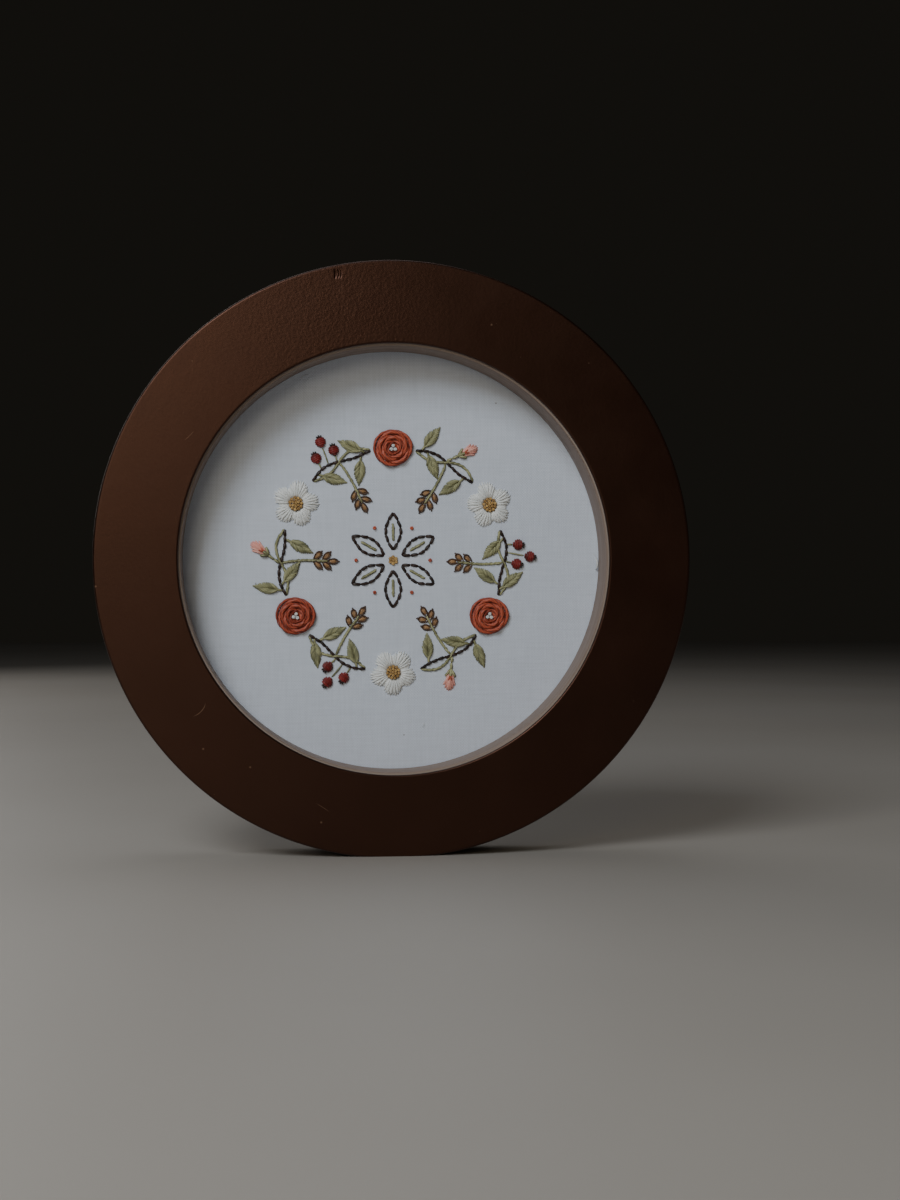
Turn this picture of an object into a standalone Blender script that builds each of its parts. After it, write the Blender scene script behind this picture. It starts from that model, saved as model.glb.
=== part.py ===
"""Framed hoop embroidery, standing on its edge.

A flat-faced turned ring of painted wood holds a pale ring of bare wood in a rebate behind its
thin lip. The cotton cloth is stretched across the back edge of the pale ring, so it lies deep inside
the opening. Low raised shapes of thread stand on the cloth: a wreath of twigs, leaves, roses,
blossoms, buds and berries, and a rosette of six outlined petals in its middle. The frame has a
small flat foot where it stands.

Metres, +Z up. The front faces -Y, and the origin is under the middle of the foot.
"""

import math
from collections import namedtuple

import bmesh
import bpy
from mathutils import Vector

MM = 0.001

# Frame: a turned ring with a lip in front and a rebate behind
FRAME_RADIUS = 106.6 * MM
FRAME_DEPTH = 24.0 * MM
OPENING_RADIUS = 77.0 * MM
REBATE_RADIUS = 82.0 * MM
LIP_DEPTH = 1.2 * MM
OUTER_ROUND = 0.8 * MM
INNER_ROUND = 0.6 * MM
FOOT_CUT = 0.8 * MM

# Pale ring and cloth, seated in the rebate
GAP = 0.3 * MM
RING_RADIUS = REBATE_RADIUS - GAP
RING_BORE = 76.2 * MM
RING_DEPTH = 16.0 * MM
RING_ROUND = 0.5 * MM
CLOTH_RADIUS = RING_RADIUS - GAP
CLOTH_THICKNESS = 1.0 * MM

# Places along Y and Z that follow from the sizes
CENTRE_Z = FRAME_RADIUS - FOOT_CUT
FRONT_Y = -FRAME_DEPTH / 2
BACK_Y = FRAME_DEPTH / 2
LIP_BACK_Y = FRONT_Y + LIP_DEPTH
RING_FRONT_Y = LIP_BACK_Y + GAP
RING_BACK_Y = RING_FRONT_Y + RING_DEPTH
CLOTH_FRONT_Y = RING_BACK_Y + GAP
CLOTH_BACK_Y = CLOTH_FRONT_Y + CLOTH_THICKNESS
THREAD_FOOT_Y = CLOTH_FRONT_Y - GAP

# Facets of the round pieces
RING_SEGMENTS = 144
ROUND_STEPS = 3
SHARP_ANGLE = math.radians(35)

# Wreath: roses and blossoms in turn, with a twig from each to the next
WREATH_RADIUS = 41.0 * MM
HEADS = 6
HEAD_CLEARANCE = 0.8 * MM
ROSE_RADIUS = 7.6 * MM
ROSE_HEIGHT = 1.9 * MM
ROSE_POINTS = 24
ROSE_STRAND_POINTS = 3
BLOSSOM_RADIUS = 9.4 * MM
BLOSSOM_HEIGHT = 1.2 * MM
BLOSSOM_PETALS = 5
BLOSSOM_PETAL_POINTS = 8
BLOSSOM_VALLEY = 0.62
BLOSSOM_ROUNDNESS = 0.5
CENTRE_RADIUS = 2.6 * MM
CENTRE_HEIGHT = 1.0 * MM
CENTRE_POINTS = 12
CENTRE_SEAT = 0.62
TWIG_WIDTH = 1.3 * MM
TWIG_HEIGHT = 0.8 * MM
TWIG_WAVE = 1.1 * MM
TWIG_STEPS = 14
HEADING_STEP = 0.01

# Rosette: pointed petals round the middle, each a closed line of thread. At a petal's points the
# line is drawn in this many times as far as at its sides.
ROSETTE_PETALS = 6
PETAL_ROOT = 2.6 * MM
PETAL_TIP = 18.5 * MM
PETAL_WIDTH = 7.0 * MM
PETAL_SIDE_STEPS = 10
LINE_WIDTH = 1.2 * MM
LINE_HEIGHT = 0.7 * MM
POINT_INSET = 1.8

# Side pieces of a twig. A leaf is widest nearer its stalk, and a bud narrows to its tip.
Size = namedtuple("Size", "length width height points")
LEAF = Size(9.6 * MM, 4.4 * MM, 0.9 * MM, 14)
BUD = Size(8.0 * MM, 5.4 * MM, 1.2 * MM, 14)
BERRY = Size(4.0 * MM, 4.0 * MM, 1.4 * MM, 12)
LEAF_SKEW = 0.85
BUD_TAPER = 0.45

# Where a side piece is: how far along the twig (0 to 1), on which side (1 outside, -1 inside), how
# far its length turns from the way round in degrees, and how far its middle lies from the twig
Side = namedtuple("Side", "kind along side turn reach")
ROSE_TO_BLOSSOM = (
    Side("leaf", 0.08, 1, 52, 6.6 * MM),
    Side("leaf", 0.16, -1, 60, 6.6 * MM),
    Side("bud", 0.48, 1, 68, 9.4 * MM),
    Side("leaf", 0.86, -1, 116, 6.8 * MM),
)
BLOSSOM_TO_ROSE = (
    Side("leaf", 0.92, 1, 128, 6.6 * MM),
    Side("leaf", 0.84, -1, 120, 6.6 * MM),
    Side("berry", 0.22, 1, 76, 4.6 * MM),
    Side("berry", 0.34, 1, 84, 8.9 * MM),
    Side("berry", 0.47, 1, 92, 4.6 * MM),
    Side("leaf", 0.12, -1, 68, 6.8 * MM),
)

# Rows of a raised shape from its foot to its top, all in shares: how wide its outline is there,
# how high it stands, and how much higher it stands where a petal or a strand is full
Row = namedtuple("Row", "width height swell")
LEAF_ROWS = (Row(1, 0, 0), Row(0.94, 0.4, 0), Row(0.55, 1, 0), Row(0, 1, 0))
BUD_ROWS = (Row(1, 0, 0), Row(0.94, 0.4, 0), Row(0.6, 1, 0), Row(0, 1, 0))
BERRY_ROWS = (Row(1, 0, 0), Row(0.98, 0.45, 0), Row(0.6, 0.9, 0), Row(0, 1, 0))
CENTRE_ROWS = (Row(0.85, 0, 0), Row(1, 0.45, 0), Row(0.7, 0.9, 0), Row(0, 1, 0))
ROSE_ROWS = (
    Row(1, 0, 0),
    Row(0.97, 0.42, 0.10),
    Row(0.74, 0.62, 0.08),
    Row(0.66, 0.48, 0.08),
    Row(0.44, 0.86, 0.08),
    Row(0.35, 0.70, 0.06),
    Row(0, 1, 0),
)
BLOSSOM_ROWS = (
    Row(1, 0, 0),
    Row(0.95, 0.25, 0.25),
    Row(0.66, 0.40, 0.60),
    Row(0.38, 0.35, 0.25),
    Row(0, 0.3, 0),
)

# A twig's cross-section, in shares of half its width and of its height
Corner = namedtuple("Corner", "across height")
TWIG_SECTION = (
    Corner(-1, 0),
    Corner(-1, 0.45),
    Corner(-0.5, 1),
    Corner(0.5, 1),
    Corner(1, 0.45),
    Corner(1, 0),
)

# The cross-section of a petal's line: how far in from its outer side, and how high, in shares
LINE_SECTION = (Corner(0, 0), Corner(0.25, 1), Corner(0.75, 1), Corner(1, 0))

Finish = namedtuple("Finish", "color roughness")
FINISHES = {
    "frame_paint": Finish((0.062, 0.024, 0.013), 0.42),
    "bare_wood": Finish((0.46, 0.39, 0.32), 0.65),
    "cotton": Finish((0.80, 0.82, 0.84), 0.90),
    "brown_thread": Finish((0.030, 0.014, 0.009), 0.55),
    "sage_thread": Finish((0.22, 0.24, 0.11), 0.55),
    "coral_thread": Finish((0.62, 0.13, 0.07), 0.50),
    "white_thread": Finish((0.83, 0.83, 0.80), 0.50),
    "gold_thread": Finish((0.55, 0.34, 0.08), 0.55),
    "red_thread": Finish((0.17, 0.012, 0.014), 0.50),
    "pink_thread": Finish((0.86, 0.36, 0.30), 0.50),
}


def clear_scene():
    for thing in list(bpy.data.objects):
        bpy.data.objects.remove(thing, do_unlink=True)


def material_of(slot):
    """The material of this slot, made the first time that it is asked for."""
    if slot in bpy.data.materials:
        return bpy.data.materials[slot]
    finish = FINISHES[slot]
    material = bpy.data.materials.new(slot)
    material.use_nodes = True
    shader = material.node_tree.nodes["Principled BSDF"]
    shader.inputs["Base Color"].default_value = (*finish.color, 1.0)
    shader.inputs["Roughness"].default_value = finish.roughness
    shader.inputs["Metallic"].default_value = 0.0
    return material


def finish_object(name, bm, slot):
    """Turns the bmesh into a named object with its material, faces outwards, shaded smooth."""
    bmesh.ops.recalc_face_normals(bm, faces=bm.faces)
    mesh = bpy.data.meshes.new(name)
    bm.to_mesh(mesh)
    bm.free()
    mesh.shade_smooth()
    mesh.set_sharp_from_angle(angle=SHARP_ANGLE)
    mesh.materials.append(material_of(slot))
    made = bpy.data.objects.new(name, mesh)
    bpy.context.scene.collection.objects.link(made)
    return made


def bridge(bm, lower, upper):
    """Faces between two closed rings of as many points."""
    for i in range(len(lower)):
        j = (i + 1) % len(lower)
        bm.faces.new((lower[i], lower[j], upper[j], upper[i]))


def round_angles(count, offset=0.0):
    """Evenly spaced angles of a full turn, the first one this share of a step past zero."""
    return [math.tau * (k + offset) / count for k in range(count)]


def on_face(radius, angle, y):
    """A point at this distance from the ring's axis. The angle runs anticlockwise from +X, seen
    from the front."""
    return Vector((radius * math.cos(angle), y, CENTRE_Z + radius * math.sin(angle)))


def on_cloth(middle, turn, point, height, foot_y=THREAD_FOOT_Y):
    """The place of a shape's own (x, z) point at this height over its foot.

    middle is an (x, z) pair, and turn is the angle of the shape's own x axis.
    """
    x = middle[0] + point[0] * math.cos(turn) - point[1] * math.sin(turn)
    z = middle[1] + point[0] * math.sin(turn) + point[1] * math.cos(turn)
    return (x, foot_y - height, z)


def arc(centre_r, centre_y, radius, start, end):
    """Points of a round edge in the (radius, y) profile, angles in degrees."""
    angles = [math.radians(start + (end - start) * k / ROUND_STEPS) for k in range(ROUND_STEPS + 1)]
    return [(centre_r + radius * math.cos(a), centre_y + radius * math.sin(a)) for a in angles]


def turned_bmesh(profile):
    """A ring turned about the frame's axis from a closed (radius, y) profile."""
    bm = bmesh.new()
    rings = [
        [bm.verts.new(on_face(r, angle, y)) for r, y in profile]
        for angle in round_angles(RING_SEGMENTS, 0.5)
    ]
    for k, ring in enumerate(rings):
        bridge(bm, ring, rings[(k + 1) % RING_SEGMENTS])
    return bm


def make_frame_ring():
    """Flat front and back, rounded edges, lip, rebate, and the flat foot cut level with Z = 0."""
    outer = FRAME_RADIUS - OUTER_ROUND
    profile = arc(outer, FRONT_Y + OUTER_ROUND, OUTER_ROUND, -90, 0)
    profile += arc(outer, BACK_Y - OUTER_ROUND, OUTER_ROUND, 0, 90)
    profile += [(REBATE_RADIUS, BACK_Y), (REBATE_RADIUS, LIP_BACK_Y), (OPENING_RADIUS, LIP_BACK_Y)]
    profile += arc(OPENING_RADIUS + INNER_ROUND, FRONT_Y + INNER_ROUND, INNER_ROUND, 180, 270)
    bm = turned_bmesh(profile)
    everything = bm.verts[:] + bm.edges[:] + bm.faces[:]
    bmesh.ops.bisect_plane(
        bm, geom=everything, plane_co=(0, 0, 0), plane_no=(0, 0, 1), clear_inner=True
    )
    open_edges = [edge for edge in bm.edges if edge.is_boundary]
    bmesh.ops.contextual_create(bm, geom=open_edges)
    return finish_object("frame_ring", bm, "frame_paint")


def make_inner_ring():
    """The pale ring that the cloth is stretched on, with softened edges."""
    front = RING_FRONT_Y + RING_ROUND
    back = RING_BACK_Y - RING_ROUND
    profile = arc(RING_RADIUS - RING_ROUND, front, RING_ROUND, -90, 0)
    profile += arc(RING_RADIUS - RING_ROUND, back, RING_ROUND, 0, 90)
    profile += arc(RING_BORE + RING_ROUND, back, RING_ROUND, 90, 180)
    profile += arc(RING_BORE + RING_ROUND, front, RING_ROUND, 180, 270)
    return finish_object("inner_ring", turned_bmesh(profile), "bare_wood")


def make_cloth():
    """A flat round sheet, trimmed just inside the pale ring's outer side."""
    bm = bmesh.new()
    rims = []
    for y in (CLOTH_FRONT_Y, CLOTH_BACK_Y):
        rim = [bm.verts.new(on_face(CLOTH_RADIUS, a, y)) for a in round_angles(RING_SEGMENTS, 0.5)]
        middle = bm.verts.new(on_face(0, 0, y))
        for k in range(RING_SEGMENTS):
            bm.faces.new((middle, rim[k], rim[(k + 1) % RING_SEGMENTS]))
        rims.append(rim)
    bridge(bm, *rims)
    return finish_object("cloth", bm, "cotton")


def relief(name, middle, turn, outline, rows, height, slot, fullness=None, foot_y=THREAD_FOOT_Y):
    """A low mound on the cloth, with a flat underside and a closing point on top.

    Each row is the outline drawn in to a share of its width and raised to a share of the height.
    fullness says for each point of the outline how much of the row's swell it gets.
    """
    bm = bmesh.new()
    full = fullness or [0.0] * len(outline)
    rings = []
    for row in rows[:-1]:
        ring = []
        for (x, z), share in zip(outline, full):
            lift = height * (row.height + row.swell * share)
            spot = on_cloth(middle, turn, (x * row.width, z * row.width), lift, foot_y)
            ring.append(bm.verts.new(spot))
        rings.append(ring)
    top = bm.verts.new(on_cloth(middle, turn, (0, 0), height * rows[-1].height, foot_y))
    bm.faces.new(rings[0])
    for lower, upper in zip(rings, rings[1:]):
        bridge(bm, lower, upper)
    last = rings[-1]
    for i in range(len(last)):
        bm.faces.new((last[i], last[(i + 1) % len(last)], top))
    return finish_object(name, bm, slot)


def ellipse(size):
    half_length = size.length / 2
    half_width = size.width / 2
    return [(half_length * math.cos(a), half_width * math.sin(a)) for a in round_angles(size.points)]


def circle(radius, count):
    return ellipse(Size(2 * radius, 2 * radius, 0, count))


def leaf_outline(size):
    """Pointed at the tip, narrow at the stalk."""
    side = size.points // 2
    upper = []
    for k in range(1, side):
        share = k / side
        width = math.sin(math.pi * share ** LEAF_SKEW) * size.width / 2
        upper.append((size.length * (share - 0.5), width))
    lower = [(x, -z) for x, z in reversed(upper)]
    return [(-size.length / 2, 0)] + upper + [(size.length / 2, 0)] + lower


def bud_outline(size):
    """Round at the stalk, drawn to a blunt tip."""
    half_length = size.length / 2
    return [(x, z * (1 - BUD_TAPER * max(0.0, x / half_length))) for x, z in ellipse(size)]


Kind = namedtuple("Kind", "size outline rows slot")
KINDS = {
    "leaf": Kind(LEAF, leaf_outline(LEAF), LEAF_ROWS, "sage_thread"),
    "bud": Kind(BUD, bud_outline(BUD), BUD_ROWS, "pink_thread"),
    "berry": Kind(BERRY, ellipse(BERRY), BERRY_ROWS, "red_thread"),
}


def make_rose(name, middle, turn):
    """A round mound whose raised rings step up to the middle like wound thread."""
    outline = circle(ROSE_RADIUS, ROSE_POINTS)
    strands = [float(i % ROSE_STRAND_POINTS == 0) for i in range(ROSE_POINTS)]
    return relief(name, middle, turn, outline, ROSE_ROWS, ROSE_HEIGHT, "coral_thread", strands)


def make_blossom(name, middle, turn):
    """Rounded petals with a valley between each two, hollowed to seat the knotted centre."""
    angles = round_angles(BLOSSOM_PETALS * BLOSSOM_PETAL_POINTS)
    petals = [abs(math.cos(BLOSSOM_PETALS * a / 2)) ** BLOSSOM_ROUNDNESS for a in angles]
    outline = []
    for angle, full in zip(angles, petals):
        radius = BLOSSOM_RADIUS * (BLOSSOM_VALLEY + (1 - BLOSSOM_VALLEY) * full)
        outline.append((radius * math.cos(angle), radius * math.sin(angle)))
    return relief(name, middle, turn, outline, BLOSSOM_ROWS, BLOSSOM_HEIGHT, "white_thread", petals)


def make_centre(name, middle):
    """The knotted centre of a blossom, clear of the petals under it."""
    foot_y = THREAD_FOOT_Y - BLOSSOM_HEIGHT * CENTRE_SEAT - GAP
    outline = circle(CENTRE_RADIUS, CENTRE_POINTS)
    return relief(
        name, middle, 0.0, outline, CENTRE_ROWS, CENTRE_HEIGHT, "gold_thread", foot_y=foot_y
    )


def head_angle(index):
    """Where a rose or blossom stands on the wreath: the first at the top, the rest clockwise."""
    return math.pi / 2 - math.tau * index / HEADS


def head_middle(index):
    angle = head_angle(index)
    return (WREATH_RADIUS * math.cos(angle), CENTRE_Z + WREATH_RADIUS * math.sin(angle))


def head_radius(index):
    return ROSE_RADIUS if index % 2 == 0 else BLOSSOM_RADIUS


def twig_span(index):
    """The angles at which the twig after this head starts and ends."""
    start = (head_radius(index) + HEAD_CLEARANCE) / WREATH_RADIUS
    end = (head_radius(index + 1) + HEAD_CLEARANCE) / WREATH_RADIUS
    return head_angle(index) - start, head_angle(index + 1) + end


def twig_point(index, along):
    """The twig's middle line, which waves once across the wreath's circle."""
    start, end = twig_span(index)
    angle = start + (end - start) * along
    radius = WREATH_RADIUS + TWIG_WAVE * math.sin(math.tau * along)
    return Vector((radius * math.cos(angle), CENTRE_Z + radius * math.sin(angle)))


def twig_heading(index, along):
    """The direction of the twig there, as an angle."""
    way = twig_point(index, along + HEADING_STEP) - twig_point(index, along - HEADING_STEP)
    return math.atan2(way.y, way.x)


def make_twig(index):
    """A half-round strand swept along the twig's line."""
    bm = bmesh.new()
    rings = []
    for k in range(TWIG_STEPS + 1):
        along = k / TWIG_STEPS
        ring = []
        for corner in TWIG_SECTION:
            offset = (0, corner.across * TWIG_WIDTH / 2)
            height = corner.height * TWIG_HEIGHT
            spot = on_cloth(twig_point(index, along), twig_heading(index, along), offset, height)
            ring.append(bm.verts.new(spot))
        rings.append(ring)
    for lower, upper in zip(rings, rings[1:]):
        bridge(bm, lower, upper)
    bm.faces.new(rings[0])
    bm.faces.new(rings[-1])
    return finish_object(f"twig_{index + 1}", bm, "brown_thread")


def petal_outline(inset):
    """A petal's outline, pointed at both ends, about its own middle and drawn in by the inset."""
    half_length = (PETAL_TIP - PETAL_ROOT) / 2 - inset * POINT_INSET
    half_width = PETAL_WIDTH / 2 - inset
    upper = []
    for k in range(1, PETAL_SIDE_STEPS):
        share = k / PETAL_SIDE_STEPS
        upper.append((half_length * (2 * share - 1), half_width * math.sin(math.pi * share)))
    lower = [(x, -z) for x, z in reversed(upper)]
    return [(-half_length, 0)] + upper + [(half_length, 0)] + lower


def make_rosette_petal(index):
    """One petal of the rosette: a closed line of thread that points at a rose or blossom."""
    bm = bmesh.new()
    turn = head_angle(index)
    reach = (PETAL_ROOT + PETAL_TIP) / 2
    middle = (reach * math.cos(turn), CENTRE_Z + reach * math.sin(turn))
    rings = []
    for corner in LINE_SECTION:
        height = corner.height * LINE_HEIGHT
        outline = petal_outline(corner.across * LINE_WIDTH)
        rings.append([bm.verts.new(on_cloth(middle, turn, point, height)) for point in outline])
    for k, ring in enumerate(rings):
        bridge(bm, ring, rings[(k + 1) % len(rings)])
    return finish_object(f"rosette_{index + 1}", bm, "brown_thread")


def make_side_pieces():
    """The leaves, buds and berries along every twig, numbered by kind."""
    numbers = dict.fromkeys(KINDS, 0)
    for index in range(HEADS):
        for piece in (ROSE_TO_BLOSSOM, BLOSSOM_TO_ROSE)[index % 2]:
            kind = KINDS[piece.kind]
            turn = twig_heading(index, piece.along) + piece.side * math.radians(piece.turn)
            way = Vector((math.cos(turn), math.sin(turn)))
            middle = twig_point(index, piece.along) + way * piece.reach
            numbers[piece.kind] += 1
            name = f"{piece.kind}_{numbers[piece.kind]}"
            relief(name, middle, turn, kind.outline, kind.rows, kind.size.height, kind.slot)


def make_heads():
    """Roses and blossoms in turn round the wreath."""
    for index in range(HEADS):
        number = index // 2 + 1
        if index % 2 == 0:
            make_rose(f"rose_{number}", head_middle(index), head_angle(index))
        else:
            make_blossom(f"blossom_{number}", head_middle(index), head_angle(index))
            make_centre(f"blossom_centre_{number}", head_middle(index))


def main():
    clear_scene()
    make_frame_ring()
    make_inner_ring()
    make_cloth()
    make_heads()
    for index in range(HEADS):
        make_twig(index)
    make_side_pieces()
    for index in range(ROSETTE_PETALS):
        make_rosette_petal(index)


main()
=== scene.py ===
"""Framed hoop embroidery: the finished look of the frame, the ring, the cloth and the stitches.

The painted frame and the pale ring are turned afresh with finer edges, the cloth is a taut round
sheet, and the wreath is sewn stitch by stitch in twisted thread, with its reverse on the back.
"""

import logging
import math
import random
from dataclasses import dataclass, field
from enum import Enum
from functools import cached_property, partial
from typing import Callable, Iterable, Sequence

import bmesh
import bpy
import numpy as np
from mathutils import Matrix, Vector


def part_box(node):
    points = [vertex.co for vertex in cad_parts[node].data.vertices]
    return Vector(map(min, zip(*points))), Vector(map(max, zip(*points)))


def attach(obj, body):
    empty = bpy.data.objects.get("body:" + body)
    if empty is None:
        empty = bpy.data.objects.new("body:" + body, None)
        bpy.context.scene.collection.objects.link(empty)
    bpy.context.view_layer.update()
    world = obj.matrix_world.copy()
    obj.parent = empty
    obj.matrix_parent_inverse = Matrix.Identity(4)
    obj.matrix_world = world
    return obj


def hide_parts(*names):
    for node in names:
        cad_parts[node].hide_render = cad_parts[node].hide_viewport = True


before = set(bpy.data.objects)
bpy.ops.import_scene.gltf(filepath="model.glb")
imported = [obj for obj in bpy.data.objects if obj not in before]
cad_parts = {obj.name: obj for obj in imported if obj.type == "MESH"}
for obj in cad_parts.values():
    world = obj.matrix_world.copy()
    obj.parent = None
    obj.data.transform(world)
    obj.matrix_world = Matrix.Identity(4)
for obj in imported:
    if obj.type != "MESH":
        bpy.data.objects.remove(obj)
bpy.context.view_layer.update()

LOG = logging.getLogger("hoop_embroidery")
MM = 0.001
TAU = math.tau
ROOT = "root"

Flat = tuple[float, float]
Colour = tuple[float, float, float, float]
Socket = bpy.types.NodeSocket

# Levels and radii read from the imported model
FRAME_LOW, FRAME_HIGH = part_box("frame_ring")
RING_LOW, RING_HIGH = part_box("inner_ring")
CLOTH_LOW, CLOTH_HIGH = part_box("cloth")
CENTRE_Z = (RING_LOW.z + RING_HIGH.z) / 2
FRAME_RADIUS = (FRAME_HIGH.x - FRAME_LOW.x) / 2
RING_RADIUS = (RING_HIGH.x - RING_LOW.x) / 2
CLOTH_RADIUS = (CLOTH_HIGH.x - CLOTH_LOW.x) / 2
FRONT_Y = FRAME_LOW.y
BACK_Y = FRAME_HIGH.y

# Sizes that the boxes don't give
LIP_DEPTH = 1.2 * MM
OPENING_RADIUS = 77.0 * MM
REBATE_RADIUS = 82.0 * MM
RING_BORE = 76.2 * MM
OUTER_ROUND = 0.8 * MM
INNER_ROUND = 0.6 * MM
RING_ROUND = 0.5 * MM

# How high the middle of a sewn thread lies off the cloth, in fine work and in dark lines
LIE = 0.30 * MM
LINE_LIE = 0.32 * MM

# Two places closer than this are the same one
NEAR = 0.01 * MM


class Face(Enum):
    """The two sides of the cloth, each with the direction that it faces along Y."""

    FRONT = -1.0
    BACK = 1.0


class Held(Enum):
    STRETCHED = "stretched"


def polar(radius: float, angle: float) -> Flat:
    """A point on the cloth from its distance and angle.

    Args:
        radius: Distance from the middle of the cloth.
        angle: Angle anticlockwise from the right, seen from the front.

    Returns:
        The point's place across and up from the middle of the cloth.
    """
    return (radius * math.cos(angle), radius * math.sin(angle))


def moved(point: Flat, angle: float, distance: float) -> Flat:
    """A point a distance away in a direction.

    Args:
        point: Where to start.
        angle: The direction, anticlockwise from the right.
        distance: How far to go.

    Returns:
        The new point.
    """
    return (point[0] + distance * math.cos(angle), point[1] + distance * math.sin(angle))


def beside(point: Flat, heading: float, side: float) -> Flat:
    """A point a distance to the left of a heading, or to its right with a negative distance."""
    return moved(point, heading + math.pi / 2, side)


def numbered(name: str, count: int) -> list[str]:
    """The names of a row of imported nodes, counted from 1."""
    return [f"{name}_{k + 1}" for k in range(count)]


class Graph:
    """The node tree of one material, with short ways to add and join nodes."""

    def __init__(self, name: str) -> None:
        """Starts an empty material with a Principled shader.

        Args:
            name: The material's name.
        """
        self.material = bpy.data.materials.new(name)
        self.material.use_nodes = True
        self.tree = self.material.node_tree
        self.shader = self.tree.nodes["Principled BSDF"]
        self.place = self.add("TexCoord").outputs["Object"]

    @cached_property
    def axes(self) -> tuple[Socket, Socket, Socket]:
        """The surface point's distance right of the middle, its depth, and its height above the middle."""
        split = self.add("SeparateXYZ", Vector=self.place).outputs
        return split["X"], split["Y"], self.less(split["Z"], CENTRE_Z)

    def add(self, kind: str, settings: dict | None = None, **inputs) -> bpy.types.Node:
        """Adds a node.

        Args:
            kind: The node's type without the ShaderNode prefix.
            settings: Attributes of the node itself.
            **inputs: Its sockets by name, with _ for a space, as a value or a socket to join.

        Returns:
            The new node.
        """
        node = self.tree.nodes.new("ShaderNode" + kind)
        for key, value in (settings or {}).items():
            setattr(node, key, value)
        for key, value in inputs.items():
            self.put(node, key.replace("_", " "), value)
        return node

    def put(self, node: bpy.types.Node, socket: str | int, value: object) -> None:
        """Sets a socket, or joins another node's output to it.

        Args:
            node: The node that has the socket.
            socket: The socket's name or number.
            value: A number, a colour, or an output socket.
        """
        target = node.inputs[socket]
        if isinstance(value, bpy.types.NodeSocket):
            self.tree.links.new(value, target)
        else:
            target.default_value = value

    def math(self, operation: str, *values: object) -> Socket:
        """A Math node.

        Args:
            operation: Blender's name of the operation.
            *values: Its operands, as numbers or sockets.

        Returns:
            The result's socket.
        """
        node = self.add("Math", {"operation": operation})
        for index, value in enumerate(values):
            self.put(node, index, value)
        return node.outputs[0]

    def times(self, first: object, second: object) -> Socket:
        """The product of two values."""
        return self.math("MULTIPLY", first, second)

    def plus(self, first: object, second: object) -> Socket:
        """The sum of two values."""
        return self.math("ADD", first, second)

    def less(self, first: object, second: object) -> Socket:
        """The first value less the second."""
        return self.math("SUBTRACT", first, second)

    def total(self, *parts: tuple[object, float]) -> Socket:
        """The sum of values that count by a share each.

        Args:
            *parts: Each value with its share.

        Returns:
            The sum's socket.
        """
        whole = None
        for value, share in parts:
            part = self.times(value, share)
            whole = part if whole is None else self.plus(whole, part)
        return whole

    def noise(self, scale: float, detail: float = 2.0, vector: Socket | None = None) -> Socket:
        """Plain noise from 0 to 1.

        Args:
            scale: How many lumps in a metre.
            detail: How many finer layers it has.
            vector: Where it is read, or None for the surface point.

        Returns:
            The value's socket.
        """
        return self.add("TexNoise", Vector=vector or self.place, Scale=scale, Detail=detail).outputs["Fac"]

    def ramp(self, value: object, low: float, high: float) -> Socket:
        """A value spread from 0 at low to 1 at high, held between them.

        Args:
            value: A number or a socket.
            low: Where the result is 0.
            high: Where the result is 1.

        Returns:
            The result's socket.
        """
        node = self.add("MapRange", {"clamp": True})
        self.put(node, "Value", value)
        self.put(node, "From Min", low)
        self.put(node, "From Max", high)
        return node.outputs["Result"]

    def fall(self, value: object, low: float, high: float) -> Socket:
        """A value spread from 1 at low down to 0 at high, held between them."""
        return self.less(1.0, self.ramp(value, low, high))

    def blend(self, share: object, first: object, second: object) -> Socket:
        """A colour between two.

        Args:
            share: 0 for the first colour, 1 for the second.
            first: A colour or a socket.
            second: A colour or a socket.

        Returns:
            The mixed colour's socket.
        """
        node = self.add("Mix", {"data_type": "RGBA"})
        for socket, value in ((0, share), (6, first), (7, second)):
            self.put(node, socket, value)
        return node.outputs[2]

    def tint(self, color: object, mask: object, share: float, other: Colour) -> Socket:
        """A colour turned by a share of the way towards another, where a mask is 1."""
        return self.blend(self.times(mask, share), color, other)

    def distance(self, point: Flat) -> Socket:
        """The surface point's distance from a point of the front.

        Args:
            point: A place across and up from the middle.

        Returns:
            The distance's socket.
        """
        across, _, up = self.axes
        wide, high = self.less(across, point[0]), self.less(up, point[1])
        return self.math("SQRT", self.plus(self.times(wide, wide), self.times(high, high)))

    def spot(self, point: Flat, size: float) -> Socket:
        """A small round mark, 1 in its middle and 0 outside its size."""
        return self.fall(self.distance(point), 0.5 * size, size)

    def bump(self, height: object, depth: float, strength: float = 1.0) -> None:
        """Raises the surface's light and shade by a height.

        Args:
            height: The height from 0 to 1.
            depth: How many metres 1 stands for.
            strength: How much of it counts.
        """
        below = self.shader.inputs["Normal"]
        node = self.add("Bump", Height=height, Distance=depth, Strength=strength)
        if below.is_linked:
            self.tree.links.new(below.links[0].from_socket, node.inputs["Normal"])
        self.tree.links.new(node.outputs["Normal"], below)

    def finish(self, color: object, roughness: object, **constants: float) -> bpy.types.Material:
        """Sets the shader's colour, roughness and plain values.

        Args:
            color: A colour or a socket.
            roughness: A number or a socket.
            **constants: Other sockets of the shader by name.

        Returns:
            The finished material.
        """
        self.put(self.shader, "Base Color", color)
        self.put(self.shader, "Roughness", roughness)
        for key, value in constants.items():
            self.put(self.shader, key.replace("_", " "), value)
        return self.material


def opaque(red: float, green: float, blue: float) -> Colour:
    """A colour with full cover."""
    return (red, green, blue, 1.0)


@dataclass(frozen=True)
class Specks:
    """Small round marks on a surface, and how strongly their colour shows."""

    places: tuple[Flat, ...]
    size: float
    share: float
    color: Colour

    def over(self, graph: Graph, color: Socket) -> Socket:
        """A colour with the marks laid over it.

        Args:
            graph: The material's graph.
            color: The colour below.

        Returns:
            The colour's socket.
        """
        for place in self.places:
            color = graph.tint(color, graph.spot(place, self.size), self.share, self.color)
        return color


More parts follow.
